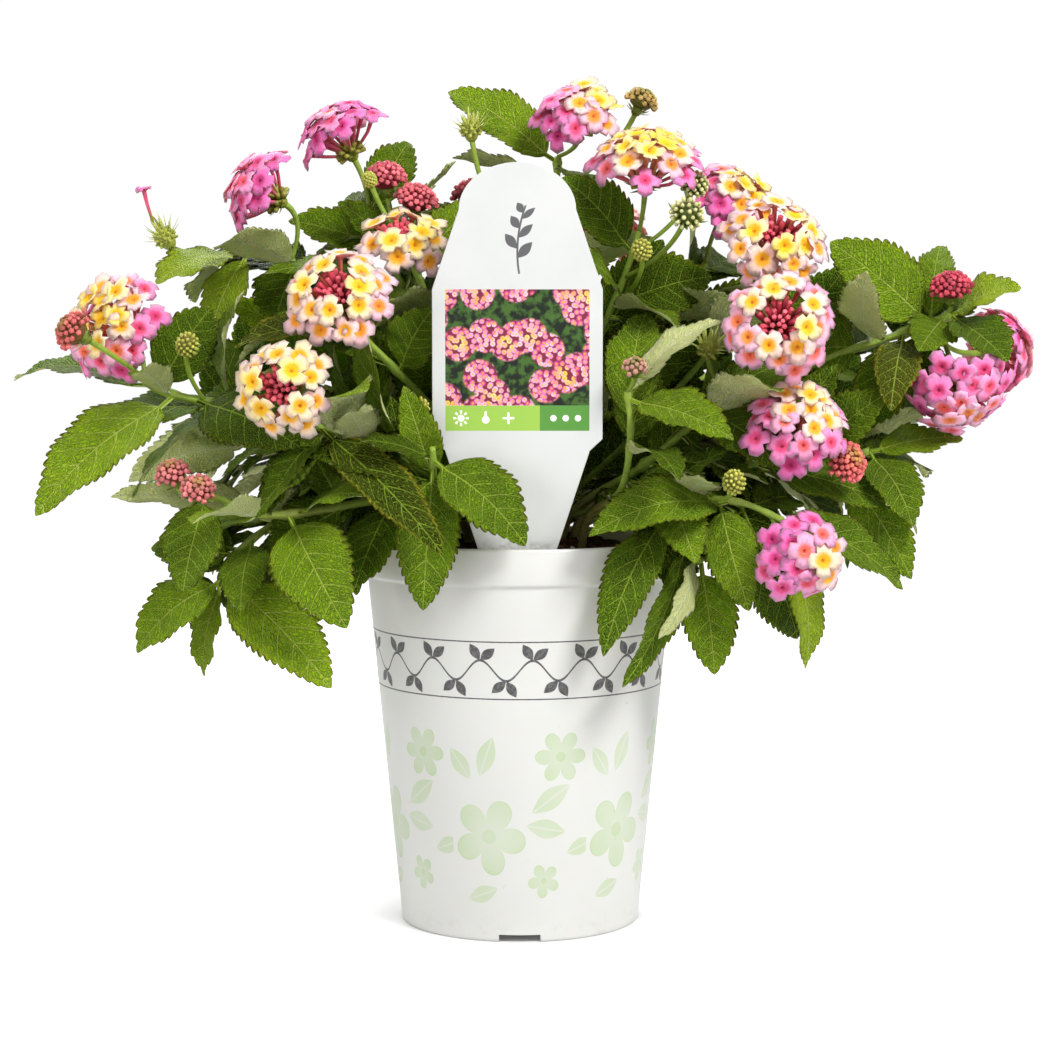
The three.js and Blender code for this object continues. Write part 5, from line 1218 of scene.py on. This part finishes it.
def stalkPath(head):
    # a parabola from the shoot, which arrives along the way the head faces
    name, share = head["at"]
    start = curvePoint(curves[name], share)
    ofRadius, more = stalkEnd[head["kind"]]
    end = head["centre"] - head["facing"] * (ofRadius * head["radius"] + more)
    corner = end - head["facing"] * stem["stalkBend"] * np.linalg.norm(start - end)
    s = np.linspace(0, 1, stem["stalkSteps"] + 1)[:, None]
    return (1 - s) ** 2 * start + 2 * s * (1 - s) * corner + s ** 2 * end


def bloomGreens(least):
    return (
        (ball, "end", 2.0, (2.5, 3.0), (136, 150, 44)),
        (bracts, "end", 1.2, (9, 1.25, 1.9, 0), (6.4, 0.85, 0.28), (128, 150, 50), (150, 168, 70)),
        # short cups that the florets stand in
        (clubs, "end", 2.0, (26, least, 1.75, 0), (1.0, 5.4, [(0, 0.5, 0), (0.5, 0.85, 0.3), (1, 0.8, 1)], 6),
         (120, 136, 40), (168, 160, 70)),
    )


# what is green at a head: its maker, where it stands and how far before that. A ball has its half
# sizes, colour, rows and columns. Bracts and clubs have a cap (count, least and most lean, spin), then
# length, half width and curl, or near, far, profile and columns, and the colours of foot and tip.
# Lengths are shares of the head's radius, and mm at a bloom
greens = {
    "full": bloomGreens(0.1), "two": bloomGreens(0.5), "open": bloomGreens(0.5),
    "berry": (
        (ball, "end", 0.25, (0.36, 0.4), (120, 140, 48)),
        (bracts, "end", 0.15, (8, 1.5, 1.9, 0), (0.95, 0.8, 0.5), (116, 142, 46), (142, 160, 60)),
    ),
    "green": (
        (ball, "centre", 0, (0.72, 0.86), (112, 108, 34), 7, 12),
        (clubs, "centre", 0, (62, 0, 2.6, 0), (0.55, lambda lean: 0.86 + 0.16 * np.cos(lean) ** 2,
                                               [(0, 0.5, 0), (0.72, 0.66, 0.6), (1, 0.42, 1)], 5),
         (150, 152, 46), (204, 206, 96)),
        (bracts, "end", 0, (6, 1.5, 2.0, 2), (1.0, 0.7, 0.7), (120, 146, 46), (140, 164, 56)),
    ),
    "seed": (
        (ball, "centre", 0, (0.66, 0.68), (78, 92, 30)),
        (clubs, "centre", 0, (52, 0, 2.3, 0), (0.4, 1, [(0, 0.42, 0), (0.55, 0.5, 0.1), (0.8, 0.78, 0.75),
                                                       (0.97, 0.55, 1)], 6), (96, 112, 34), (238, 236, 168)),
        (bracts, "end", 0, (6, 1.3, 2.0, 2), (1.3, 0.8, 0.4), (84, 112, 36), (112, 140, 48)),
    ),
    "calyx": (
        (ball, "centre", -0.25, (0.4, 0.62), (160, 172, 66), 7, 10),
        (bracts, "centre", -0.3, (26, 0.05, 1.5, 0), (1.15, 0.62, 0.2), (160, 176, 66), (206, 214, 112)),
        (clubs, "centre", -0.25, (30, 0.1, 2.2, 2), (0.2, 0.58, [(0, 0.5, 0), (0.7, 0.7, 0.6), (1, 0.4, 1)], 5),
         (140, 150, 56), (190, 198, 92)),
    ),
}


def greenParts(head):
    # the stalk of a head with what is green at its end
    kind, facing, seed = head["kind"], head["facing"], head["seed"]
    size = 1 if kind in bloomKinds else head["radius"]
    path = stalkPath(head)
    share = np.linspace(0, 1, len(path))
    thin, thick = stem["stalkRadius"]
    thick = thick if kind in bloomKinds else thick * stem["thinStalk"]
    tint = between(linear(132, 160, 54), linear(146, 174, 60), share[:, None])
    surfaces = [tube(path, thin + (thick - thin) * share ** 2, 8, tint=tint[None, :, None])]
    feet = {"end": path[-1], "centre": head["centre"]}
    for maker, foot, forward, *values in greens[kind]:
        at = feet[foot] + facing * forward * size
        if maker is ball:
            (across, along), tint, *detail = values
            surfaces.append(ball(at, facing, across * size, along * size, linear(*tint), *detail))
            continue
        (count, least, most, spin), form, low, high = values
        directions, lean = spiralCap(count, facing, least, most, seed + spin)
        colours = linear(*low), linear(*high)
        if maker is bracts:
            length, half, curl = form
            surfaces.append(bracts(at, facing, directions, length * size, half, curl, *colours, seed))
        else:
            near, far, profile, columns = form
            far = (far(lean) if callable(far) else far) * size
            surfaces.append(clubs(at, facing, directions, near * size, far, profile, *colours, seed, columns))
    return surfaces


def tintedFinish(name, roughness, streaks, relief, weight):
    # the surface's own tint, with streaks and spots a little lighter and darker
    material, start, place = startMaterial(name, {"Specular IOR Level": 0.35, "Subsurface Weight": weight,
                                                  "Subsurface Scale": 0.0015, "Subsurface Radius": (1.0, 0.6, 0.3)})
    tint = start.node("ShaderNodeAttribute", {"attribute_name": "tint"}, output="Color")
    spots = noise(place, 260, 3)
    fine = noise(place, 1700, 2)
    darker = mix(smooth(spots, 0.3, 0.75) * streaks, tint, linear(170, 160, 130), "MULTIPLY")
    lighter = mix(smooth(fine, 0.55, 0.8) * streaks * 0.6, darker, linear(236, 232, 190), "SOFT_LIGHT")
    normal = bump(fine + spots * 0.6, relief)
    return drive(material, baseColor=lighter, normal=normal, roughness=roughness + spots * 0.12)


greenMaterial = tintedFinish("stemGreen", 0.42, 0.45, 0.0004, 0.1)
for branch in branches:
    surfaces = [shootSurface(shoot) for shoot in shoots if shoot["branch"] == branch]
    for head in heads:
        if branchOf[head["at"][0]] == branch:
            surfaces += greenParts(head)
    makePiece(f"stems_{branch}", surfaces, greenMaterial, "foliage", f"branch_{branch}")
print("stems and green heads stand")


# florets

floret = {
    "limb": 5.3, "limbRange": 1.0, "spacing": {"full": 1.6, "two": 1.6, "open": 1.65}, "stray": 0.16,
    "middleEnd": 45, "openStart": 30, "throat": 1.0, "spin": 0.7,
    # which way a limb faces: its own way out, the head's way and a draw
    "ownWay": 0.9, "forwardLean": 0.4, "tilt": 0.5,
    # how far back in the head and out of it the tube starts, and the share of its length to its bend
    "tubeStart": (2.6, 1.4), "tubeBend": 0.42,
    # ages run between these leans for two colours, or these shares of the cap's; then draws of age and
    # depth, and how much deeper the youngest lie
    "twoSpan": (0.35, 1.15), "capSpan": (0.8, 0.82), "ageStray": 0.16, "depth": 2.4, "youngDepth": 0.9,
    # one lobe: turn from its notch in degrees, reach as a share of the limb; the four lobes repeat it
    "lobe": ((0, 0.62), (17, 0.96), (45, 1.05), (73, 0.97)), "outerLobe": 0.1, "curl": (1.1, -1.1), "ruffle": 0.55,
    # how far down a cap goes in degrees, and how far inside the head's radius it lies: by kind, or by head
    "capEnd": {"full": 66, "two": 72, "open": 76, "bloom_edge_right": 86, "bloom_far_right": 84},
    "inset": {"full": 1.2, "two": 1.2, "open": 1.2, "bloom_top": 2.8, "bloom_back": 2.0},
}
# age of the inner and the outer florets, 0 young yellow to 1 old magenta, and where the youngest are
ages = {
    "bloom_top_left": (0.78, 1.0), "bloom_upper_left": (0.8, 1.0), "bloom_far_left": (0.12, 0.95),
    "bloom_centre_left": (0.1, 0.42), "bloom_left": (0.2, 0.52), "bloom_lower_left": (0.15, 0.4),
    "bloom_top": (0.2, 0.95), "bloom_top_right": (0.05, 0.9), "bloom_upper_right": (0.1, 0.95),
    "bloom_right": (0.15, 0.55), "bloom_middle_right": (0.25, 0.75), "bloom_lower_right": (0.35, 0.95),
    "bloom_low_right": (0.3, 0.95), "bloom_far_right": (0.66, 0.95), "bloom_edge_right": (0.5, 0.95),
    "bloom_behind_top": (0.3, 0.6), "bloom_back_left": (0.7, 0.95), "bloom_back": (0.15, 0.5),
    "bloom_back_right": (0.7, 0.95),
}
youngest = {
    "bloom_top": (0.9, -0.3, 0.5), "bloom_upper_right": (0.7, -0.4, 0.6), "bloom_lower_right": (0.4, -0.5, 0.75),
    "bloom_top_right": (0.0, -0.6, 0.8), "bloom_low_right": (0.9, -0.6, -0.1),
}
# one faded floret still stands on the spent bracts at the far left
spent = {"head": "calyx_left", "from": (-3.4, -1.0, 4.4), "rise": (-0.25, -0.1, 0.95), "reach": 11.5, "limb": 3.1,
         "age": 0.97, "seed": 3}
# rings of a floret: three up the tube, then the limb's back, rim, face, throat and eye
tubeShares, tubeRadii = np.array([0.0, 0.5, 0.86]), np.array([0.5, 0.6, 0.8])
ringKinds = np.array([2, 2, 2, 1, 0.5, 0, 0, 0])[None, :, None]
ringAlong = np.array([0, 0.5, 0.86, 1, 1, 1, 1, 1])[None, :, None]


def floretSurface(root, facing, directions, age, reach, seeds, look):
    # a tube on a bent path from the middle of the head, which widens into a limb of four lobes: radius
    # by the lobe's table, height = curl of the age at the lobes, and ruffles
    count = len(directions)
    a = np.radians([90 * k + 45 + turn for k in range(4) for turn, _ in look["lobe"]])
    columns = len(a)
    normal = unit(directions * look["ownWay"] + facing * look["forwardLean"] + strayed(seeds, 51) * look["tilt"])
    outward, _ = squareTo(directions, facing)
    outward = unit(outward - np.sum(outward * normal, -1, keepdims=True) * normal)
    side = np.cross(normal, outward)
    limb = (look["limb"] + look["limbRange"] * (drawn(seeds, 54) - 0.5)) * (0.8 + 0.2 * ramped(age, 0, 0.35))
    centre = root + directions * reach[:, None]
    back, out = look["tubeStart"]
    start = root - facing * back + directions * out
    corner = centre - normal * np.linalg.norm(centre - start, axis=-1, keepdims=True) * look["tubeBend"]
    b = tubeShares[None, :, None]
    path = (1 - b) ** 2 * start[:, None] + 2 * b * (1 - b) * corner[:, None] + b ** 2 * centre[:, None]
    tangent = unit((1 - b) * (corner - start)[:, None] + b * (centre - corner)[:, None])
    tubeSide = unit(side[:, None] - np.sum(side[:, None] * tangent, -1, keepdims=True) * tangent)
    tubeAway = np.cross(tubeSide, tangent)
    turn = a[None] + (drawn(seeds, 55)[:, None] - 0.5) * look["spin"]
    cos, sin = np.cos(turn)[:, None, :, None], np.sin(turn)[:, None, :, None]
    tubePart = (path[:, :, None] + tubeRadii[None, :, None, None]
                * (cos * tubeAway[:, :, None] + sin * tubeSide[:, :, None]))
    uneven = 1 + 0.1 * (drawn(seeds[:, None] * 7 + np.arange(columns) // 4, 64) - 0.5)
    lobes = (np.array([share for _, share in look["lobe"]] * 4)[None] * uneven
             * (1 + look["outerLobe"] * np.maximum(np.cos(a), 0) ** 2)[None])
    curl = look["curl"][0] + (look["curl"][1] - look["curl"][0]) * age
    ruffle = look["ruffle"] * (np.sin(3 * a[None] + fullTurn * drawn(seeds, 56)[:, None])
                               + 1.2 * (drawn(seeds[:, None] * 19 + np.arange(columns), 65) - 0.5))
    height = curl[:, None] * (lobes / 1.06) ** 3 + ruffle
    full, flat = limb[:, None] * lobes, np.ones((count, columns))
    radii = np.stack([full * 0.6, full, full * 0.62, flat * look["throat"], flat * 0.5], 1)
    levels = np.stack([height * 0.4 - 0.4, height, height * 0.35 + 0.1, flat * -0.05, flat * -0.7], 1)
    limbPart = (centre[:, None, None] + levels[..., None] * normal[:, None, None]
                + radii[..., None] * (cos * outward[:, None, None] + sin * side[:, None, None]))
    rim = np.concatenate([np.zeros((count, 3, columns)), radii / limb[:, None, None]], 1)
    ones = np.ones_like(rim)
    return closedRings(
        np.concatenate([tubePart, limbPart], 1), start - tangent[:, 0] * 0.2, centre - normal * 0.9,
        placeOn=np.stack([rim * np.cos(a), rim * np.sin(a), ringKinds * ones], -1),
        traits=np.stack([age[:, None, None] * ones, drawn(seeds, 57)[:, None, None] * ones, ringAlong * ones], -1))


def petalFinish():
    # placeOn: across the limb as shares of its radius, and side (0 face, 1 back, 2 tube); traits: age,
    # draw, share along the tube
    material, start, place = startMaterial("petals", {
        "Specular IOR Level": 0.25, "Subsurface Weight": 0.4, "Subsurface Scale": 0.002,
        "Subsurface Radius": (1.0, 0.5, 0.4), "Sheen Weight": 0.1})
    px, py, kind = surfaceMap(start, "placeOn")
    age, draw, along = surfaceMap(start, "traits")
    reach = reachOf(px, py)
    streak = noise(join(px.math("ARCTAN2", py, px) * 5, reach * 1.2, draw * 40), 1.4, 2)
    cloud = noise(place, 380, 2)
    own = age + (cloud - 0.5) * 0.12
    limb = ramp(own, [(0, (254, 208, 84)), (0.2, (255, 222, 146)), (0.36, (254, 216, 184)), (0.52, (252, 196, 200)),
                      (0.7, (250, 172, 198)), (0.86, (245, 142, 190)), (1, (228, 108, 174))])
    throat = ramp(own, [(0, (253, 196, 14)), (0.3, (252, 186, 16)), (0.55, (250, 160, 34)), (0.72, (244, 116, 84)),
                        (0.88, (230, 76, 122)), (1, (200, 52, 124))])
    tips = ramp(own, [(0, (255, 216, 112)), (0.35, (254, 214, 208)), (0.55, (248, 188, 216)), (0.75, (247, 168, 206)),
                      (1, (238, 138, 194))])
    eye = ramp(age, [(0, (246, 158, 8)), (0.5, (242, 134, 14)), (0.8, (224, 70, 60)), (1, (180, 36, 96))])
    tube = ramp(age, [(0, (228, 160, 104)), (0.4, (226, 132, 112)), (0.7, (216, 100, 110)), (1, (206, 84, 120))])
    face = mix(smooth(reach + (streak - 0.5) * 0.24 + age * 0.12, 0.36, 0.68), throat, limb)
    face = mix(smooth(reach, 0.6, 1.05) * (0.3 + draw * 0.6), face, tips)
    face = mix(smooth(0.14 - reach, 0, 0.08), face, eye)
    face = mix(smooth(streak, 0.5, 0.75) * smooth(reach, 0.3, 0.7) * 0.25, face, throat)
    back = mix(0.3 + cloud * 0.1, limb, linear(246, 184, 176))
    tube = mix(smooth(0.42 - along, 0, 0.3), tube, linear(150, 140, 52))
    colour = mix(smooth(kind, 1.0, 1.6), mix(kind > 0.5, face, back), tube)
    normal = bump(streak * 0.6 + cloud * 0.4, 0.0005)
    return drive(material, baseColor=colour, normal=normal, roughness=0.5 + cloud * 0.15)


def openHead(head):
    # florets on a cap, as many as its area holds, and their age by how far they are from the youngest
    name, kind, facing, seed = head["name"], head["kind"], head["facing"], head["seed"]
    capEnd, inset = (floret[key].get(name, floret[key][kind]) for key in ("capEnd", "inset"))
    least, most = np.radians(floret["openStart"]) if kind == "open" else 0.0, np.radians(capEnd)
    reach = head["radius"] - inset
    count = int(2 * (reach / floret["limb"]) ** 2 * (np.cos(least) - np.cos(most)) * floret["spacing"][kind])
    directions, lean = spiralCap(count, facing, least, most, seed)
    seeds = np.arange(count) + seed * 97
    directions = unit(directions + floret["stray"] * strayed(seeds, 61))
    centreOfYoung = unit(facing * 0.6 + np.array(youngest[name])) if name in youngest else facing
    fromYoung = np.arccos(np.clip(directions @ centreOfYoung, -1, 1))
    inner, outer = ages[name]
    ofLeast, ofMost = floret["capSpan"]
    span = floret["twoSpan"] if kind == "two" else (least * ofLeast, most * ofMost)
    age = inner + (outer - inner) * ramped(fromYoung, *span) + floret["ageStray"] * (drawn(seeds, 58) - 0.5)
    age = np.clip(age, 0, 1)
    distance = reach - floret["depth"] * drawn(seeds, 59) - floret["youngDepth"] * (1 - ramped(age, 0, 0.3))
    inside = (lean < np.radians(floret["middleEnd"])) & (kind == "two")
    slots = {name: "florets_" + head["colour"], name + "_middle": "florets_cream"}
    for (node, slot), chosen in zip(slots.items(), (~inside, inside)):
        if chosen.any():
            surface = floretSurface(head["centre"], facing, directions[chosen], age[chosen], distance[chosen],
                                    seeds[chosen], floret)
            makePiece(node.replace("bloom", "florets"), [surface], petalMaterial, slot, node)
    return count


petalMaterial = petalFinish()
floretCount = sum(openHead(head) for head in heads if head["kind"] in bloomKinds)
spentHead = next(head for head in heads if head["name"] == spent["head"])
rise = unit(np.array(spent["rise"]))
faded = floretSurface(spentHead["centre"] + spent["from"], rise, rise[None] + 0.01, np.array([spent["age"]]),
                      np.array([spent["reach"]]), np.array([spent["seed"]]),
                      {**floret, "limb": spent["limb"], "limbRange": 0})
makePiece("spent_floret", [faded], petalMaterial, "florets_pink")
print("florets opened:", floretCount)


# red buds

buds = {
    "openCount": 30, "openSpread": 0.66, "openReach": (0.46, 0.29), "openStart": 3.5, "berryShare": 1.5,
    "stray": {"open": 0.08, "berry": 0.1}, "sharp": 32,
    # share of the way out, radius, and colour from foot to tip
    "peg": [(0, 0.4, 0), (0.4, 0.55, 0.12), (0.74, 0.92, 0.5), (1, 0.86, 1)],
    "shortPeg": [(0, 0.4, 0), (0.62, 0.55, 0.15), (0.84, 0.98, 0.7), (1, 0.8, 1)],
    # foot, tip and youngest of each; the heads that aren't named are the first
    "tints": {
        "": ((152, 26, 56), (246, 116, 132), (200, 50, 82)),
        "buds_far_left": ((126, 84, 44), (222, 110, 108), (160, 130, 64)),
        "buds_top": ((100, 104, 40), (190, 158, 90), (140, 150, 60)),
        "buds_front_right": ((110, 106, 46), (212, 150, 140), (146, 152, 74)),
        "buds_low_left": ((140, 66, 50), (244, 140, 142), (176, 140, 80)),
        "buds_lower_left": ((140, 66, 50), (244, 140, 142), (176, 140, 80)),
        "buds_lower_right": ((150, 50, 48), (242, 118, 118), (200, 150, 80)),
        "buds_far_right": ((130, 30, 50), (216, 80, 100), (176, 52, 74)),
        "buds_centre_left": ((146, 40, 60), (242, 122, 134), (196, 84, 96)),
        "buds_upper_left": ((146, 40, 60), (242, 122, 134), (196, 84, 96)),
    },
}


def budSurfaces(head):
    # many blunt five-sided pegs on a dome: the outer ones are long and pale, the inner ones short and dark
    centre, facing, radius, kind, seed = (head[key] for key in ("centre", "facing", "radius", "kind", "seed"))
    foot, tip, inner = (linear(*shade) for shade in buds["tints"].get(head["name"], buds["tints"][""]))
    count = buds["openCount"] if kind == "open" else int(buds["berryShare"] * radius ** 2)
    directions, lean = spiralCap(count, facing, 0, buds["openSpread"] if kind == "open" else 1.75, seed)
    index = np.arange(count)
    directions = unit(directions + buds["stray"][kind] * strayed(index, seed + 71))
    draw = drawn(index, seed + 70)
    if kind == "open":
        least, more = buds["openReach"]
        far = radius * (least + more * (0.7 * ramped(lean, 0.0, 0.7) + 0.3 * draw))
        return [clubs(centre, facing, directions[k::3], buds["openStart"], far[k::3], buds["peg"], foot,
                      between(tip, inner, 0.3 * k), seed + k, 5) for k in range(3)]
    far = radius * (1.1 - 0.3 * np.cos(lean)) * (0.9 + 0.12 * draw)
    surfaces = [ball(centre, facing, 0.8 * radius, 0.56 * radius, foot)]
    for k in range(4):
        share = ramped(lean[k::4], 0.0, 1.1)[:, None, None, None]
        tint = np.minimum(between(inner, tip * (0.72 + 0.14 * k), share), 0.95)
        surfaces.append(clubs(centre, facing, directions[k::4], 0.25 * radius, far[k::4], buds["shortPeg"], foot, tint,
                              seed + k, 5))
    return surfaces


budMaterial = tintedFinish("budSkin", 0.45, 0.2, 0.0003, 0.15)
for head in heads:
    name = head["name"]
    if head["kind"] == "open":
        makePiece(name.replace("bloom", "young_buds"), budSurfaces(head), budMaterial, "buds", name + "_buds",
                  sharpAngle=buds["sharp"])
    elif head["kind"] == "berry":
        makePiece(name.replace("buds", "red_buds"), budSurfaces(head), budMaterial, "buds", name,
                  sharpAngle=buds["sharp"])
print("buds are set")


# floor

def makeFloor(look):
    # a flat disc. The camera sees it lit up to white by its glow, with a painted shadow under and close
    # round the foot where the glow is dimmed; as a light for the plant it is plain paper
    angle = circle(96)
    ring = np.stack([np.cos(angle), np.sin(angle), 0 * angle], -1) * look["floorRadius"] * mm
    mesh = bpy.data.meshes.new("floor")
    mesh.from_pydata([(0, 0, 0), *ring.tolist()], [], [(0, k + 1, (k + 1) % 96 + 1) for k in range(96)])
    material, start, place = startMaterial("floorPaper", {"Roughness": 0.9, "Specular IOR Level": 0.1})
    x, y, _ = parts(place)
    reach = reachOf(x, y) * 1000
    footShadowGlow, beside, farOff = ((glow,) * 3 for glow in look["glow"])
    share, shade = look["shadowShare"], look["floorShade"]
    # painted shadow: the glow is dimmed under the foot and fades back in close round it
    near = smooth(reach, *look["shadowStep"]) * share + smooth(reach, *look["footShadowStep"]) * (1 - share)
    lit = mix(smooth(reach, *look["farStep"]), mix(near, footShadowGlow, beside), farOff)
    drive(material, baseColor=mix(noise(place, 2.0, 2), (shade,) * 3, (shade + 0.01,) * 3))
    nodes = material.node_tree.nodes
    paper = Signal(start.tree, nodes["Principled BSDF"].outputs["BSDF"])
    glowing = start.node("ShaderNodeEmission", sockets={"Color": lit, "Strength": 1.0})
    both = start.node("ShaderNodeAddShader", sockets={0: paper, 1: glowing})
    seen = start.node("ShaderNodeLightPath", output="Is Camera Ray")
    choice = start.node("ShaderNodeMixShader", sockets={0: seen, 1: paper, 2: both})
    material.node_tree.links.new(choice.socket, nodes["Material Output"].inputs["Surface"])
    mesh.materials.append(material)
    floor = bpy.data.objects.new("floor", mesh)
    bpy.context.collection.objects.link(floor)


makeFloor(studio)
